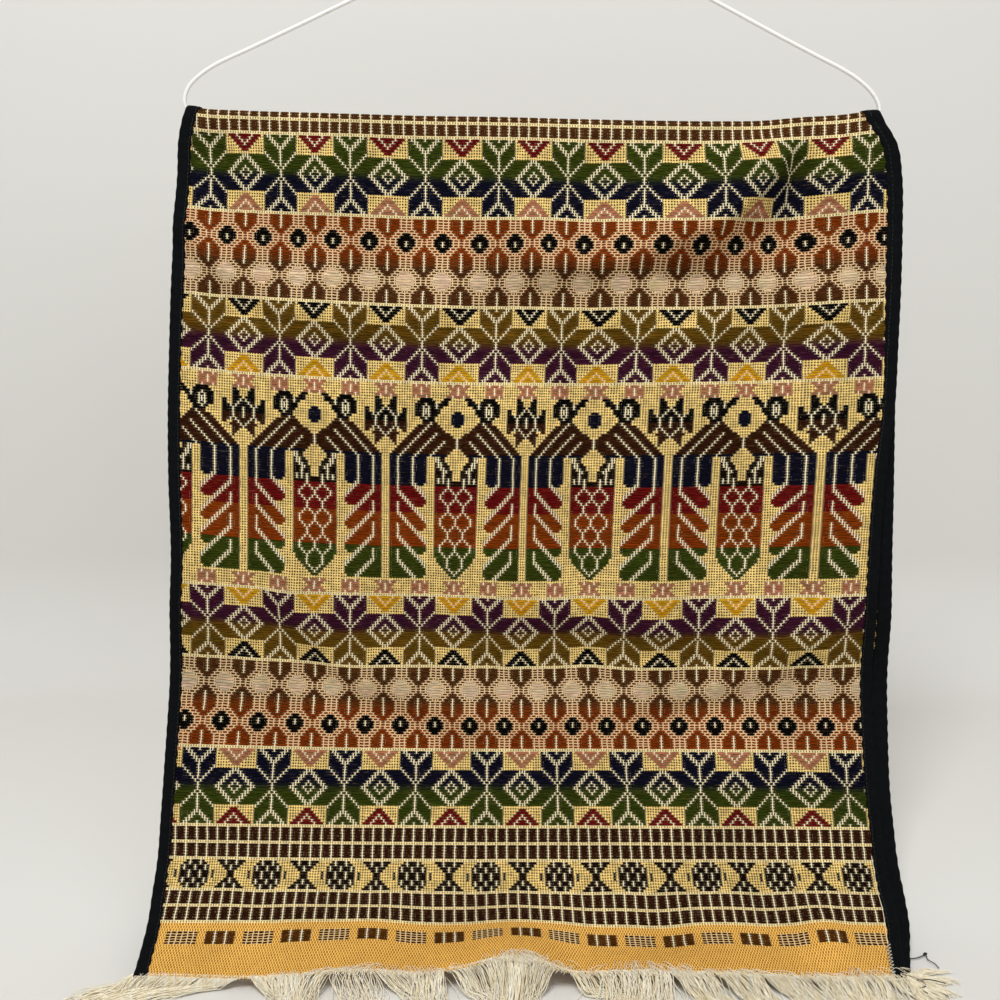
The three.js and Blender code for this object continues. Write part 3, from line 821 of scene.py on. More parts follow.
def brocade_material():
    made, tree, shader = new_material("hand-woven cotton brocade")
    node = partial(add, tree)
    weave = node("UVMap", uv_map="weave")
    place = node("SeparateXYZ", {0: weave})
    # Which of the face's two squares this is, and so its yarn and its mark.
    half = node("Math", {0: node("Math", {0: place, 1: 0.5}, operation="MULTIPLY")}, operation="FRACT")
    side = node("Math", {0: half, 1: 0.5}, operation="GREATER_THAN")
    left = node("Attribute", attribute_name="left_square")
    right = node("Attribute", attribute_name="right_square")
    thread = node("Mix", {"Factor": side, "A": left, "B": right}, data_type="RGBA")
    code = node("Mix", {"Factor": side, "A": left.outputs["Alpha"], "B": right.outputs["Alpha"]})
    mark = [node("Math", {0: code, 1: m / MARK_SCALE, 2: 0.02}, operation="COMPARE") for m in MARKS]
    # Hand spinning and beating make the threads wander a little from their squares.
    wander = node("TexNoise", {"Vector": weave, "Scale": 0.37, "Detail": 2}, noise_dimensions="2D")
    moved = node("VectorMath", {0: wander.outputs["Color"], 1: (STRAY, STRAY, 0), 2: weave},
                 operation="MULTIPLY_ADD")
    moved = node("VectorMath", {0: moved, 1: (-STRAY / 2, -STRAY / 2, 0)})
    inside = node("VectorMath", {0: moved}, operation="FRACTION")
    from_left = node("SeparateXYZ", {0: inside})
    inside = node("VectorMath", {0: inside, 1: (2, 2, 2), 2: (-1, -1, -1)}, operation="MULTIPLY_ADD")
    inside = node("SeparateXYZ", {0: node("VectorMath", {0: inside}, operation="ABSOLUTE")})
    # How far from the middle of the square, 0 to 1, across the columns and along them.
    across, along = inside.outputs["X"], inside.outputs["Y"]
    # The golden ground is a plain weave, so its slits stand half a square over in every other row.
    odd_row = node("Math", {0: node("Math", {0: place.outputs["Y"], 1: 0.5}, operation="MULTIPLY")},
                   operation="FRACT")
    odd_row = node("Math", {0: odd_row, 1: 0.5}, operation="GREATER_THAN")
    staggered = node("SeparateXYZ", {0: moved})
    staggered = node("Math", {0: odd_row, 1: 0.5, 2: staggered}, operation="MULTIPLY_ADD")
    staggered = node("Math", {0: staggered, 1: 0.5}, operation="PINGPONG")
    staggered = node("Math", {0: staggered, 1: -2, 2: 1}, operation="MULTIPLY_ADD")
    # Streaks run along each pick, because the yarn was spun and dyed by hand and its colour wanders.
    stretch = node("Mapping", {"Vector": weave, "Scale": (0.13, 1, 1)})
    streaks = node("TexNoise", {"Vector": stretch, "Scale": 1.7, "Detail": 3, "Roughness": 0.7},
                   noise_dimensions="2D")
    step = {}
    for name, value, *limits in (
        # name, what it follows, from, to, value there, value at the end
        # A tie is a rounded cream end, with short barbs where its neighbours' picks pass.
        ("core", across, 0.24, 0.52, 1, 0), ("between", along, 0.5, 0.85, 0, 1),
        ("spike", across, 0.3, 1, 1, 0.3),
        ("at left", from_left, 0, 0.5, 0.6, 0), ("at right", from_left, 0.5, 1, 0, 0.6),
        # The holes at the corners of the open ground are painted shade, where light falls into the gaps.
        ("hole across", across, 0.3, 0.6, 0, 1), ("hole along", along, 0.36, 0.62, 0, 1),
        # Golden ground: a painted highlight down each pale warp rib, and painted shade in the slits between.
        ("lit", staggered, 0, 0.45, 1, 0), ("slit across", staggered, 0.4, 0.8, 0, 1),
        ("slit along", along, 0.45, 0.95, 1, 0),
        # A line's cream beads darken at their sides: partly the neighbouring dark yarn, partly painted shade.
        ("ring across", across, 0.5, 0.85, 0, 1), ("ring along", along, 0.4, 0.85, 1, 0),
        ("laid", along, 0.52, 0.78, 1, 0), ("pressed", along, 0.66, 0.92, 1, 0),
        # The groove darkens each pick towards its edges: painted shade between the picks.
        ("groove", along, 0.5, 1, 1, 0.4),
        ("tone", streaks, 0.28, 0.72, 0.7, 1.26), ("bare", streaks, 0.55, 0.8, 0, 0.2),
        ("uneven", wander, 0.35, 0.62, 0.65, 1), ("ripe", wander, 0.35, 0.65, 0.75, 1.1),
    ):
        step[name] = node("MapRange", {0: value, **dict(enumerate(limits, 1))},
                          interpolation_type="SMOOTHSTEP")
    both = {}
    for name, first, second in (
        ("barb", "between", "spike"), ("hole", "hole across", "hole along"),
        ("slit", "slit across", "slit along"), ("ring", "ring across", "ring along"),
        ("showing", "between", "bare"), ("shade", "groove", "tone"),
        ("left barb", "between", "at left"), ("right barb", "between", "at right"),
    ):
        both[name] = node("Math", {0: step[first], 1: step[second]}, operation="MULTIPLY")
    # Each pick is three strands side by side, each darker towards its sides: painted shade between
    # the strands. The same values shape a float's bump.
    turn = node("Math", {0: place.outputs["Y"], 1: 3 * 2 * math.pi}, operation="MULTIPLY")
    turn = node("Math", {0: turn}, operation="COSINE")
    strand_shade = node("Math", {0: turn, 1: 0.12, 2: 0.9}, operation="MULTIPLY_ADD")
    level = node("Math", {0: strand_shade, 1: both["shade"]}, operation="MULTIPLY")
    laid_yarn = node("VectorMath", {0: thread, "Scale": level}, operation="SCALE")
    # Its dye wanders within a pick, and from one hank of yarn to the next.
    hanks = node("TexNoise", {"Vector": weave, "Scale": 0.1, "Detail": 2}, noise_dimensions="2D")
    for source, spread, least in ((streaks, 0.06, 0.97), (hanks, 0.24, 0.88)):
        dyeing = node("VectorMath", {0: source.outputs["Color"], 1: (spread,) * 3, 2: (least,) * 3},
                      operation="MULTIPLY_ADD")
        laid_yarn = node("VectorMath", {0: laid_yarn, 1: dyeing}, operation="MULTIPLY")
    # The cream warp end takes a little colour from the yarn that it ties down.
    bar = node("Math", {0: step["core"], 1: both["barb"]}, operation="MAXIMUM")
    net = node("Math", {0: step["core"], 1: step["between"]}, operation="SUBTRACT")
    slits = node("Math", {0: both["slit"], 1: step["uneven"]}, operation="MULTIPLY")
    either = node("Math", {0: both["left barb"], 1: both["right barb"]}, operation="MAXIMUM")
    ripe = node("VectorMath", {0: thread, "Scale": step["ripe"]}, operation="SCALE")
    # The dark colour is painted shade, in the holes of the open ground and beside a line's cream beads.
    mixed = {"yarn": laid_yarn, "thread": thread, "ripe": ripe, "dark": linear("#2C1800"),
             "cream weft": linear("#B99A62"), "cream": linear("#FFF0C6"), "pale": linear("#FFEBB4"),
             # The slit colour is painted shade. The bright colour is the paler warp with a painted highlight
             # on it.
             "peach": linear("#FFDCA8"), "bright": linear("#FFDA8C"), "slit": linear("#8E5614")}
    for name, factor, first, second in (
        # Each colour is a mix of two earlier ones.
        ("float", both["showing"], "yarn", "cream weft"), ("warp", 0.1, "cream", "thread"),
        ("tinted", 0.24, "peach", "thread"), ("float start", both["left barb"], "float", "warp"),
        ("float end", both["right barb"], "float", "warp"), ("float lone", either, "float", "warp"),
        ("faded", 0.6, "pale", "ripe"), ("tie", bar, "float", "warp"), ("net", net, "ripe", "faded"),
        ("ground", both["hole"], "net", "dark"), ("gold", step["lit"], "thread", "bright"),
        ("golden", slits, "gold", "slit"), ("line", both["ring"], "faded", "dark"),
        ("dash", step["laid"], "tinted", "float"), ("lattice", step["core"], "dash", "tinted"),
        ("golden dash", step["pressed"], "bright", "thread"),
    ):
        mixed[name] = node("Mix", {"Factor": factor, "A": mixed[first], "B": mixed[second]}, data_type="RGBA")
    colour = mixed["float"]
    for m, name in ((TIE, "tie"), (GROUND, "ground"), (GOLDEN, "golden"), (LINE, "line"), (DASH, "dash"),
                    (LATTICE, "lattice"), (FLOAT_START, "float start"), (FLOAT_END, "float end"),
                    (FLOAT_LONE, "float lone"), (GOLDEN_DASH, "golden dash")):
        colour = node("Mix", {"Factor": mark[m], "A": colour, "B": mixed[name]}, data_type="RGBA")
    # Handling and light have faded the cloth unevenly, in soft patches of a few centimetres.
    patches = node("TexNoise", {"Vector": node("TexCoord").outputs["Object"], "Scale": 24, "Detail": 3})
    patches = node("MapRange", {0: patches, 1: 0.3, 2: 0.7, 3: 0.88, 4: 1.08})
    colour = node("VectorMath", {0: colour, "Scale": patches}, operation="SCALE")
    # Threads stand up in the middle of each strand and sink at the holes.
    rounded = node("Math", {0: step["core"], 1: 0.5, 2: 0.5}, operation="MULTIPLY_ADD")
    woven = node("Math", {0: both["hole"], 1: -0.9, 2: rounded}, operation="MULTIPLY_ADD")
    height = node("Mix", {"Factor": mark[FLOAT], "A": woven, "B": level})
    bump = node("Bump", {"Height": height, "Strength": 0.6, "Distance": THREAD_BUMP})
    link(tree, shader, {"Base Color": colour, "Normal": bump, "Roughness": 1, "Specular IOR Level": 0.02})
    return made


runner.data.materials.append(brocade_material())
print("material:", runner.data.materials[0].name)

# %% [markdown]
# ## The bindings
# A black cotton tape is folded over each side edge and sewn down through all its layers. It is a closed
# tube of a flat section, drawn along both flaps and over the bar. The thread draws it in, so it puckers
# between stitches.

# %% Bindings
PUCKER = 7.4             # from one pucker of the tape to the next
TAPE_REACH = 7.6         # how far the folded tape reaches in from the edge
TAPE_SECTION = [
    # inset from the edge, distance off the middle of the cloth: along the outside, round the edge
    # and back along the inside
    (7.6, 0.62), (7.58, 1.0), (6.7, 1.14), (5.2, 1.24), (3.6, 1.28), (2.0, 1.22), (0.8, 1.08), (0.2, 0.76),
    (0, 0.3), (0, -0.3), (0.2, -0.76), (0.8, -1.08), (2.0, -1.22), (3.6, -1.28), (5.2, -1.24), (6.7, -1.14),
    (7.58, -1.0), (7.6, -0.62), (4, -0.7), (0.45, -0.66), (0.45, 0.66), (4, 0.7),
]


def binding_tape(name, on_left):
    stations = np.arange(HEM_ROW + 0.9, BACK_HEM_ROW - 1.5, -0.8)
    section = np.array(TAPE_SECTION + TAPE_SECTION[:1])
    mesh = bmesh.new()
    around, along = len(section) - 1, len(stations) - 1
    made = bmesh.ops.create_grid(mesh, x_segments=around, y_segments=along, size=0.5)["verts"]
    i = np.array([round((v.co.x + 0.5) * around) for v in made])
    j = np.array([round((v.co.y + 0.5) * along) for v in made])
    row, inset, out = stations[j], section[i, 0], section[i, 1]
    s = row * ROW
    wave = np.sin(2 * math.pi * s / PUCKER + 1.3 * np.sin(s / 31) + (0 if on_left else 2))
    outside = np.abs(out) > 0.8
    puff = 0.2 * wave * np.sin(math.pi * np.clip(inset / TAPE_REACH, 0, 1)) + 0.08 * np.sin(s / 3.1 + inset)
    out = out + np.sign(out) * np.where(outside, puff, 0)
    inset = inset + np.where(inset > 5, 0.35 * wave, -0.12 * wave * (inset < 1))
    # The back flap's right binding shows past the front one, and both are wider near the bar.
    level = level_of(row)
    edge = eased(LEVELS, LEFT if on_left else RIGHT, level)
    spread = np.where(row < TOP_ROW, 0.25 * smooth(level, 140, 160) + 0.4 * smooth(level, 186, 204), 0)
    wider = 1 + 0.3 * (1 - smooth(level, 45, 95)) + spread * (1 - smooth(level, 296, 306))
    x = edge + inset if on_left else edge - inset * wider
    for vertex, place in zip(made, cloth_at(x, row, out)):
        vertex.co = place
    uv_layer = mesh.loops.layers.uv.new("tape")
    lookup = {vertex: (0.8 * float(a), float(b)) for vertex, a, b in zip(made, i, s)}
    for face in mesh.faces:
        for loop in face.loops:
            loop[uv_layer].uv = lookup[loop.vert]
    bmesh.ops.remove_doubles(mesh, verts=mesh.verts, dist=0.02 * MM)
    bmesh.ops.holes_fill(mesh, edges=[edge for edge in mesh.edges if edge.is_boundary], sides=0)
    return finished(name, mesh)


bindings = {side: binding_tape(f"tape_binding_{side}", side == "left") for side in ("left", "right")}
print("bindings:", [len(b.data.polygons) for b in bindings.values()])

# %% [markdown]
# Black cotton tape is matte, and its own fine weave only shows as a slight tooth.

# %% Tape material
def tape_material():
    made, tree, shader = new_material("black cotton tape")
    node = partial(add, tree)
    place = node("UVMap", uv_map="tape")
    ribs = node("TexWave", {"Vector": place, "Scale": 0.9, "Distortion": 1.2, "Detail": 1, "Detail Scale": 2},
                bands_direction="Y")
    lint = node("TexNoise", {"Vector": node("TexCoord").outputs["Object"], "Scale": 300, "Detail": 3})
    mixed = node("Math", {0: ribs, 1: lint}, operation="MULTIPLY")
    colour = node("Mix", {"Factor": mixed, "A": linear("#050607"), "B": linear("#191B1E")}, data_type="RGBA")
    bump = node("Bump", {"Height": mixed, "Strength": 0.5, "Distance": 0.15 * MM})
    link(tree, shader, {"Base Color": colour, "Normal": bump, "Roughness": 0.85, "Specular IOR Level": 0.06})
    return made


black_tape = tape_material()
for tape in bindings.values():
    tape.data.materials.append(black_tape)
print("material:", black_tape.name)

# %% [markdown]
# The stitches of a sewing machine run beside the tape's inner edge, and each one is a short thread that
# dips at both ends. A curve with a round bevel draws threads quickly, so one function makes tubes of
# every sort here.

# %% Stitches
def tube_piece(name, paths, sides, material):
    """Threads or wire: each path is a list of (x, y, z, radius) in metres, with closed ends."""
    data = bpy.data.curves.new(name, "CURVE")
    data.dimensions = "3D"
    data.bevel_depth = 1
    data.bevel_resolution = sides // 2 - 2
    data.use_fill_caps = True
    for path in paths:
        spline = data.splines.new("POLY")
        spline.points.add(len(path) - 1)
        spline.points.foreach_set("co", [value for x, y, z, r in path for value in (x, y, z, 1)])
        spline.points.foreach_set("radius", [r for x, y, z, r in path])
    drawn = bpy.data.objects.new(name + "_path", data)
    bpy.context.scene.collection.objects.link(drawn)
    bpy.context.view_layer.update()
    mesh = bpy.data.meshes.new_from_object(drawn.evaluated_get(bpy.context.evaluated_depsgraph_get()))
    bpy.data.objects.remove(drawn)
    mesh.name = name
    mesh.materials.clear()
    mesh.materials.append(material)
    return placed(name, mesh)


def thread_material():
    made, tree, shader = new_material("black sewing thread")
    link(tree, shader, {"Base Color": linear("#141416"), "Roughness": 0.55})
    return made


STITCH = 2.6             # from one stitch to the next
STITCHES = 400           # on each side, over both flaps
black_thread = thread_material()
stitch_rows = {}
for side, column, sign in (("left", LEFT, 1), ("right", RIGHT, -1)):
    stitches = []
    for n in range(STITCHES):
        rows = HEM_ROW - 0.5 - n * STITCH / ROW + np.array([0, -0.25, -0.8, -1.1])
        edge = eased(LEVELS, column, level_of(rows))
        points = cloth_at(edge + sign * (6.5 + 0.15 * math.sin(n)), rows, np.array([1.0, 1.3, 1.3, 1.0]))
        stitches.append([(*point, 0.17 * MM) for point in points])
    stitch_rows[side] = tube_piece(f"binding_stitches_{side}", stitches, 6, black_thread)
print("stitches:", len(stitches), "a side")

# %% [markdown]
# ## The fringe
# The warp ends run on past the last pick and are left loose. Static and handling draw them into locks,
# with bare floor between. So the plan is a table of locks: which stretch of the hem each one gathers,
# where it narrows, and where it spreads again and ends. Every end then takes its own smooth path
# through those places.

# %% A smooth curve for threads and wire
def through(points, steps):
    """A smooth curve through the points: centripetal Catmull-Rom, with so many steps between each two."""
    ends = [points[0] * 2 - points[1], *points, points[-1] * 2 - points[-2]]
    route = []
    for a, b, c, d in zip(ends, ends[1:], ends[2:], ends[3:]):
        t1 = (b - a).length ** 0.5
        t2 = t1 + (c - b).length ** 0.5
        t3 = t2 + (d - c).length ** 0.5
        for step in range(steps):
            t = t1 + (t2 - t1) * step / steps
            ab = a * ((t1 - t) / t1) + b * (t / t1)
            bc = b * ((t2 - t) / (t2 - t1)) + c * ((t - t1) / (t2 - t1))
            cd = c * ((t3 - t) / (t3 - t2)) + d * ((t - t2) / (t3 - t2))
            abc = ab * ((t2 - t) / t2) + bc * (t / t2)
            bcd = bc * ((t3 - t) / (t3 - t1)) + cd * ((t - t1) / (t3 - t1))
            route.append(abc * ((t2 - t) / (t2 - t1)) + bcd * ((t - t1) / (t2 - t1)))
    return route + [points[-1]]


elbow = [Vector((0, 0, 0)), Vector((1, 0, 0)), Vector((1, 1, 0))]
print("a curve through three points:", len(through(elbow, 4)))

# %% The table of locks
LOCKS = [
    # hem from x, to x; gathers at x, so far out, this wide; ends at x, so far out, this wide;
    # warp ends a column, and how high they arch
    (-222, -160, -228, 10, 30, -244, 25, 18, 3.4, 0.6),
    (-160, -131, -133, 13, 10, -127, 58, 16, 4.0, 0.6),
    (-131, -112, -127, 9, 11, -134, 50, 12, 2.2, 0.8),
    (-112, -92, -98, 5, 24, -92, 17, 16, 1.6, 1.2),
    (-92, -70, -63, 8, 14, -52, 50, 12, 2.2, 1.0),
    (-70, -51, -58, 12, 11, -43, 57, 16, 3.2, 0.6),
    (-51, -33, -26, 8, 12, -24, 40, 12, 2.4, 1.0),
    (-33, -6, -14, 12, 8, -34, 52, 18, 3.4, 3.4),
    (-6, 14, -8, 12, 8, 12, 54, 20, 3.4, 3.4),
    (14, 31, 38, 5, 15, 54, 13, 9, 2.4, 0.8),
    (31, 72, 56, 12, 28, 46, 56, 30, 3.4, 3.0),
    (72, 97, 96, 12, 14, 116, 50, 15, 3.2, 1.2),
    (97, 122, 122, 13, 13, 146, 48, 14, 3.2, 1.0),
    (122, 147, 148, 12, 13, 168, 50, 15, 3.2, 0.6),
    (147, 166, 170, 12, 12, 186, 50, 14, 3.2, 0.6),
    (166, 190, 186, 12, 14, 178, 50, 22, 3.4, 1.0),
    (190, 226, 216, 9, 18, 232, 28, 14, 3.4, 0.6),
]
# At the right corner the back hem's last ends fall sideways, past the bindings.
BACK_LOCKS = LOCKS[:-1] + [
    (190, 201, 207, 9, 9, 217, 26, 12, 2.4, 0.6), (198, 212, 218, 3, 8, 226, 12, 8, 7, 1.2),
    (201, 226, 222, -4, 8, 229, 3, 8, 7, 1.6), (201, 226, 224, -9, 6, 228, -7, 6, 7, 1.6),
]
STRAY_LIMIT = 30         # how far past the hem's corner an end may lie
FRINGE_DROP = 15         # how far out the ends have come down to the floor
STRAND, TAPER = 0.23, 0.06         # a strand's radius, and how much thinner its end is
low_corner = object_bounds()[0]
floor_level = low_corner[2] / MM + 0.6
print("locks:", len(LOCKS), "in front and", len(BACK_LOCKS), "behind")

# %% [markdown]
# An end leaves the hem at its own column, is drawn to where its lock gathers, and fans out from there.
# It sinks from the hem to the floor within a few millimetres, waves with its lock, and curls a little
# by itself.

# %% Strands in locks
def warp_strands(locks, hem_row, seed, share, pile):
    """Paths of the loose ends of one hem, with this share of them, heaped as high as pile."""
    draw = random.Random(seed)
    x_line = columns_at(hem_row)
    paths = []
    for low, high, gather_x, gather_out, gather_wide, end_x, end_out, end_wide, a_column, arch in locks:
        sway, phase = draw.uniform(0.8, 2.0), draw.uniform(0, 6.3)
        for n in range(round((high - low) / COLUMN * a_column * share)):
            x0 = min(max(draw.uniform(low, high), x_line[0] + 1), x_line[-1] - 1)
            f = (x0 - low) / (high - low) - 0.5 + draw.gauss(0, 0.2)
            start = cloth_at(x0, hem_row, draw.uniform(-0.2, 0.6)) / MM
            reach = draw.uniform(0.72, 1.05)
            astray = draw.gauss(0, 1) * (5 if draw.random() < 0.15 else 1.2)
            near = Vector((gather_x + f * gather_wide + astray, -gather_out * draw.uniform(0.85, 1.15), 0))
            far_x = min(end_x + f * end_wide + 2.5 * astray, x_line[-1] + STRAY_LIMIT)
            far = Vector((far_x, -end_out, 0))
            first = Vector((x0 + 0.42 * (near.x - x0) + 0.9 * draw.gauss(0, 1), near.y * 0.24, 0))
            plan = [Vector((x0, 0, 0)), first, near, near.lerp(far, 0.5 * reach), near.lerp(far, reach)]
            plan[3].x += sway * math.sin(phase + 1.5) + draw.gauss(0, 0.8)
            layer = draw.uniform(0, pile) * (1 if draw.random() < 0.85 else 1.6)
            rise = arch * draw.uniform(0.2, 1.0)
            curl, twist = draw.uniform(0.1, 1.0), draw.uniform(0, 6.3)
            route = through(plan, 4)
            path, gone = [], 0
            for k, (point, before) in enumerate(zip(route, [route[0], *route])):
                t = k / (len(route) - 1)
                gone += (point - before).length
                settled = smooth(gone, 0.5, FRINGE_DROP)
                loose = smooth(gone, 0, 14)
                wave = 0.8 * sway * math.sin(gone / 4.2 + phase) + curl * math.sin(gone / 1.9 + twist)
                wave *= loose
                lies = floor_level + layer * (1 - 0.4 * t) + 0.4 * math.sin(gone / 3 + twist)
                arched = rise * math.sin(math.pi * min(gone / 10, 1))
                z = max(start[2] * (1 - settled) + lies * settled + arched, floor_level)
                path.append(((point.x + wave) * MM, (start[1] + point.y + 0.6 * wave) * MM, z * MM,
                             (STRAND - TAPER * t) * MM))
            paths.append(path)
    return paths


sample = warp_strands(LOCKS[:1], HEM_ROW, 1, 0.1, 1.0)
print("a lock of", len(sample), "strands with", len(sample[0]), "points each")

# %% [markdown]
# Short ends and broken fibres stand out from the last picks, and in some places they have ruffled up.

# %% Short ends along the hem
# x, spread, how many rows in, how far they lean to the side
RUFFLES = [(-104, 9, 2, -2), (-72, 12, 3, 1), (-14, 6, 5, 3), (-2, 7, 5, -3), (18, 8, 3, -2), (58, 9, 5, 1),
           (74, 7, 4, 3), (108, 10, 2, 2), (150, 14, 2, 1), (186, 9, 4, 1)]


def hem_fuzz(hem_row, seed, count):
    """Short ends and broken fibres that stand out from the last picks."""
    draw = random.Random(seed)
    x_line = columns_at(hem_row)
    paths = []
    for n in range(count):
        x0, rows_in, lean = draw.uniform(x_line[0], x_line[-1]), 1.2, 0
        if n % 5 < 3:
            middle, spread, rows_in, lean = draw.choice(RUFFLES)
            x0 = draw.gauss(middle, spread)
            lean += (x0 - middle) / 3
        x0 = min(max(x0, x_line[0] + 2), x_line[-1] - 2)
        back = rows_in * draw.random() ** 1.5
        x, y, z = cloth_at(x0, hem_row - back, 0.5) / MM
        aside, ahead, up = lean + draw.gauss(0, 2), draw.uniform(2, 6) + back, draw.uniform(0, 1) + 0.3 * back
        path = []
        for t in (0, 0.3, 0.6, 0.8, 1):
            path.append(((x + aside * t + 0.15 * math.sin(5 * t + n)) * MM, (y - ahead * t) * MM,
                         (z + up * math.sin(2.4 * t)) * MM, (0.15 - 0.05 * t) * MM))
        paths.append(path)
    return paths


print("places where the hem is ruffled:", len(RUFFLES))

# %% [markdown]
# Undyed cotton is creamy and slightly uneven along each end. Its loose fibres catch light as a soft
# sheen.

# %% The fringe's cotton and its pieces
def warp_material():
    made, tree, shader = new_material("loose cotton warp ends")
    place = add(tree, "TexCoord").outputs["Object"]
    narrow = add(tree, "Mapping", {"Vector": place, "Scale": (900, 60, 60)})
    tone = add(tree, "TexNoise", {"Vector": narrow, "Scale": 1, "Detail": 2})
    tone = add(tree, "MapRange", {0: tone, 1: 0.35, 2: 0.65})
    colour = add(tree, "Mix", {"Factor": tone, "A": linear("#F6E8C4"), "B": linear("#FFFAEA")},
                 data_type="RGBA")
    link(tree, shader, {"Base Color": colour, "Roughness": 0.85, "Sheen Weight": 0.4})
    return made


warp_cotton = warp_material()
# Each fringe's share of ends keeps it just under 200,000 triangles.
front_ends = warp_strands(LOCKS, HEM_ROW, 11, 1.7, 2.6)
back_ends = warp_strands(BACK_LOCKS, BACK_HEM_ROW - 0.4, 12, 1.35, 1.8)
fringe_front = tube_piece("warp_fringe_front", front_ends, 4, warp_cotton)
fuzz = tube_piece("warp_fringe_short_ends", hem_fuzz(HEM_ROW, 13, 1300), 4, warp_cotton)
fringe_back = tube_piece("warp_fringe_back", back_ends, 4, warp_cotton)
print("fringes:", len(fringe_front.data.polygons), len(fringe_back.data.polygons), "faces")

# %% [markdown]
# A few loose threads are left where the bindings end: whip stitches over the inner edge of the right
# one, a pale selvedge end beside it, and knotted tails of sewing thread that lie on the floor. Each is
# a thin tube.

# %% Loose threads at the corners
def along_edge(rows, inset, out, radius):
    """A thread that runs beside the right binding: inset and out are in millimetres, for each row."""
    edge = eased(LEVELS, RIGHT, level_of(rows))
    return [(*point, radius * MM) for point in cloth_at(edge - inset, rows, out)]


TAILS = [
    # radius, then points: x, y, height above the floor
    (0.32, [(208, -101.5, 2.0), (214, -103.8, 0.6), (221, -103.4, 0.5), (227.4, -100.6, 0.7)]),
    (0.8, [(226.6, -101.0, 0.9), (227.4, -100.3, 1.2), (228.2, -100.9, 0.9)]),
    (0.28, [(227.6, -101, 0.8), (227.2, -105, 0.6), (229.6, -108.5, 0.5), (230.2, -112.5, 0.5)]),
    (0.3, [(202, -126.5, 5.2), (206, -130.8, 4.6), (212, -127.8, 4.2), (218, -127.2, 4.0),
           (226.5, -129.6, 3.4)]),
    (0.26, [(200, -125, 5.4), (202.5, -129.5, 5.0), (206.5, -129.5, 5.0), (208.5, -134.5, 4.2),
            (213, -138, 3.4)]),
    (0.24, [(203, -125, 5.0), (208, -124.8, 4.6), (213, -127.8, 4.2), (214.5, -132, 3.8),
            (210, -134.5, 4.2)]),
    (0.26, [(-217, -127, 5.0), (-221, -128.5, 4.2), (-225.5, -128, 3.6), (-229, -131, 3.0)]),
]
turns = np.arange(300.0, 313.2, 0.7)
crossing = np.where(np.arange(len(turns)) % 2 == 0, 6.7, 8.9)
height = np.where(np.arange(len(turns)) % 2 == 0, 1.6, 1.0)
dark_threads = [along_edge(turns, crossing, height, 0.2)]
for radius, points in TAILS:
    route = through([Vector((x, y, floor_level + z)) for x, y, z in points], 5)
    dark_threads.append([(*(point * MM), radius * MM) for point in route])
tails = tube_piece("thread_tails", dark_threads, 6, black_thread)
edge_rows = np.arange(266, 305, 1.5)
beside = 8.1 + 0.25 * np.sin(edge_rows / 2.3)
pale_threads = [along_edge(edge_rows, beside, np.full(len(edge_rows), 0.6), 0.22),
                along_edge(turns + 0.6, crossing, height + 0.1, 0.22)]
selvedge = tube_piece("selvedge_threads", pale_threads, 6, warp_cotton)
print("loose threads:", len(dark_threads) + len(pale_threads))

# %% [markdown]
# ## The hanger
# A coat hanger is bent from one wire and dipped in a plastic coating, so its corners are round and its
# surface is smooth and half glossy. The route is the frame's own, with many more steps and sides than
# the plain solid.

# %% Hanger wire
WIRE = 2.4
HOOK_RADIUS = 20.2
NECK_X, NECK_TOP, NECK_BOTTOM = 3, -48, -70
WIND_STEPS, STEPS_A_TURN = 26, 10        # the wire's end is wound round the neck
BAR = [(196, -185.2), (182, -186.1), (160, -187.7), (137, -189.4), (108, -189.9), (75, -189.6), (30, -188.7),
       (-20, -187.5), (-60, -186.9), (-100, -185.9), (-137, -184.9), (-172, -183.9), (-196, -183.0)]
RIGHT_SIDE = [(40, -89), (103.5, -120), (143, -139.6), (167.5, -151.4), (180.5, -157.6), (191.5, -164),
              (199.5, -170.8), (203.6, -176.8), (204.6, -181), (203.2, -184.4), (199.8, -185.7)]
LEFT_SIDE = [(-199.8, -183), (-204, -181.6), (-206, -177.8), (-205.6, -172.4), (-202.4, -166.6), (-196, -161),
             (-186.8, -155.4), (-166, -146.4), (-136, -133.3), (-106, -120), (-40, -91.2)]


def hanger_route():
    """The corners of the wire's route, from the hook's tip round to the end wound about the neck."""
    centre = WIRE / 2 - HOOK_RADIUS
    turns = [math.radians(turn) for turn in range(205, -1, -17)]
    route = [(HOOK_RADIUS * math.cos(a), 0, centre + HOOK_RADIUS * math.sin(a)) for a in turns]
    route += [(18.6, 0, centre - 8), (12.5, 0, centre - 16), (6, 0, centre - 22.5), (NECK_X, 0, NECK_TOP)]
    route += [(NECK_X, 0, (NECK_TOP + NECK_BOTTOM) / 2), (NECK_X + 0.6, 0, NECK_BOTTOM + 2)]
    route += [(10, 0, NECK_BOTTOM - 4.6)]
    route += [(x, 0, z) for x, z in RIGHT_SIDE + BAR + LEFT_SIDE]
    route += [(-12, 0, NECK_BOTTOM - 9)]
    reach = WIRE + 0.3
    for k in range(WIND_STEPS):
        a = math.pi + 2 * math.pi * k / STEPS_A_TURN
        rise = NECK_BOTTOM + 1.5 + reach * k / STEPS_A_TURN
        route.append((NECK_X + reach * math.cos(a), reach * math.sin(a), rise))
    return [Vector(point) for point in route]


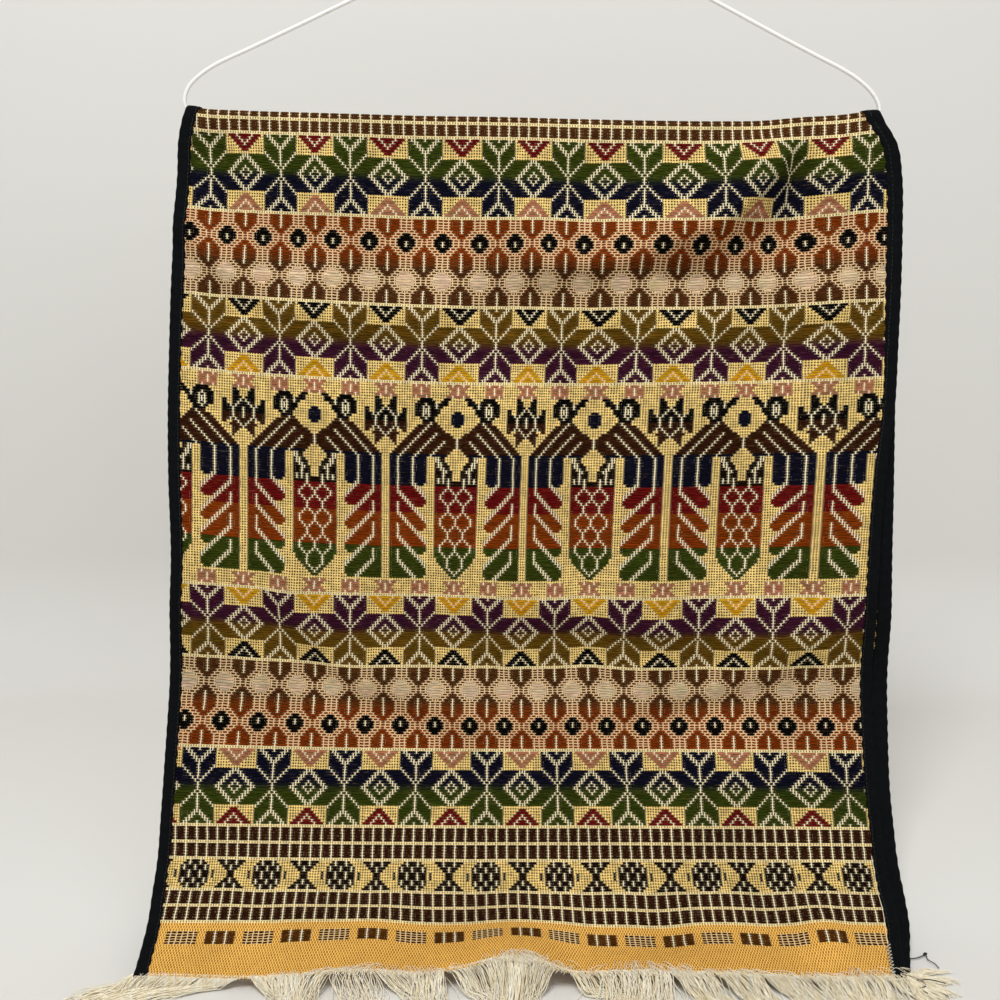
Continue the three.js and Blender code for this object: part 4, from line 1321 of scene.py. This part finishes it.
def coating_material():
    made, tree, shader = new_material("white plastic-coated steel wire")
    place = add(tree, "TexCoord").outputs["Object"]
    scuffs = add(tree, "TexNoise", {"Vector": place, "Scale": 160, "Detail": 4, "Roughness": 0.7})
    worn = add(tree, "MapRange", {0: scuffs, 1: 0.58, 2: 0.75})
    colour = add(tree, "Mix", {"Factor": worn, "A": linear("#F1F1EF"), "B": linear("#D2D1CC")},
                 data_type="RGBA")
    rough = add(tree, "MapRange", {0: scuffs, 1: 0.3, 2: 0.7, 3: 0.3, 4: 0.5})
    bump = add(tree, "Bump", {"Height": scuffs, "Strength": 0.15, "Distance": 0.05 * MM})
    link(tree, shader, {"Base Color": colour, "Roughness": rough, "Normal": bump})
    return made


wire_path = [(*(point * MM), WIRE / 2 * MM) for point in through(hanger_route(), 8)]
hanger = tube_piece("hanger_wire", [wire_path], 16, coating_material())
print("hanger:", len(wire_path), "steps,", len(hanger.data.polygons), "faces")

# %% [markdown]
# ## Floor, backdrop and light
# The hem just reaches a pale floor. The floor curves up into a pale backdrop, so that nothing behind
# the cloth draws the eye. It stands 0.4 m behind the bar, so a camera on the far side sees only the
# backdrop. Big soft lamps and a pale world light the cloth evenly.

# %% Stage and lamps
def stage_material():
    made, tree, shader = new_material("pale matte paper")
    link(tree, shader, {"Base Color": linear("#E2E1DD"), "Roughness": 0.95, "Specular IOR Level": 0.1})
    return made


FLOOR_FRONT, FLOOR_BACK, COVE, BACKDROP_TOP, SWEEP_WIDTH = -1.6, 0.28, 0.12, 1.4, 4.4    # metres


def studio_sweep():
    mesh = bmesh.new()
    floor = cad_box[0][2] - 0.4 * MM
    turns = np.radians(range(6, 91, 6))
    profile = [(FLOOR_FRONT, floor), (FLOOR_BACK, floor)]
    profile += [(FLOOR_BACK + COVE * math.sin(a), floor + COVE * (1 - math.cos(a))) for a in turns]
    profile += [(FLOOR_BACK + COVE, BACKDROP_TOP)]
    corners = [mesh.verts.new((-SWEEP_WIDTH / 2, y, z)) for y, z in profile]
    edges = [mesh.edges.new(pair) for pair in zip(corners, corners[1:])]
    drawn = bmesh.ops.extrude_edge_only(mesh, edges=edges)["geom"]
    far_side = [g for g in drawn if isinstance(g, bmesh.types.BMVert)]
    bmesh.ops.translate(mesh, vec=(SWEEP_WIDTH, 0, 0), verts=far_side)
    return finished("studio_sweep", mesh)


sweep = studio_sweep()
sweep.data.materials.append(stage_material())


def soft_lamp(name, place, target, size, power):
    lamp_data = bpy.data.lights.new(name, "AREA")
    lamp_data.shape = "RECTANGLE"
    lamp_data.size, lamp_data.size_y = size
    lamp_data.energy = power
    lamp = bpy.data.objects.new(name, lamp_data)
    lamp.location = place
    lamp.rotation_euler = (Vector(target) - Vector(place)).to_track_quat("-Z", "Y").to_euler()
    bpy.context.scene.collection.objects.link(lamp)


middle = (0, 0, -0.42)
soft_lamp("key", (-0.25, -1.0, 1.1), middle, (0.6, 0.45), 24)
soft_lamp("fill", (0.9, -1.3, 0.2), middle, (1.0, 1.0), 4)
world = bpy.data.worlds.new("pale room")
world.use_nodes = True
link(world.node_tree, world.node_tree.nodes["Background"], {"Color": linear("#F2F1EE"), "Strength": 0.38})
bpy.context.scene.world = world
bpy.context.scene.view_settings.view_transform = "Standard"

# %% [markdown]
# ## Hand over to the frame
# Each piece rides on the root and hides the plain solid that it stands for, and the table lists
# the finish of the record that each has.

# %% Rides, replacements and finishes
pieces = {
    runner: ("woven_panel", "brocade"),
    bindings["left"]: ("binding_left", "tape"),
    bindings["right"]: ("binding_right", "tape"),
    stitch_rows["left"]: (None, "tape"),
    stitch_rows["right"]: (None, "tape"),
    fringe_front: ("fringe_front", "warp_ends"),
    fringe_back: ("fringe_back", "warp_ends"),
    fuzz: (None, "warp_ends"),
    tails: (None, "tape"),
    selvedge: (None, "warp_ends"),
    hanger: ("hanger", "coated_wire"),
}
for piece, (node, slot) in pieces.items():
    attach(piece, "root")
    if node:
        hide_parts(node)

# %% Sizes and the end
print("CAD box:", [[round(v, 4) for v in corner] for corner in cad_box])
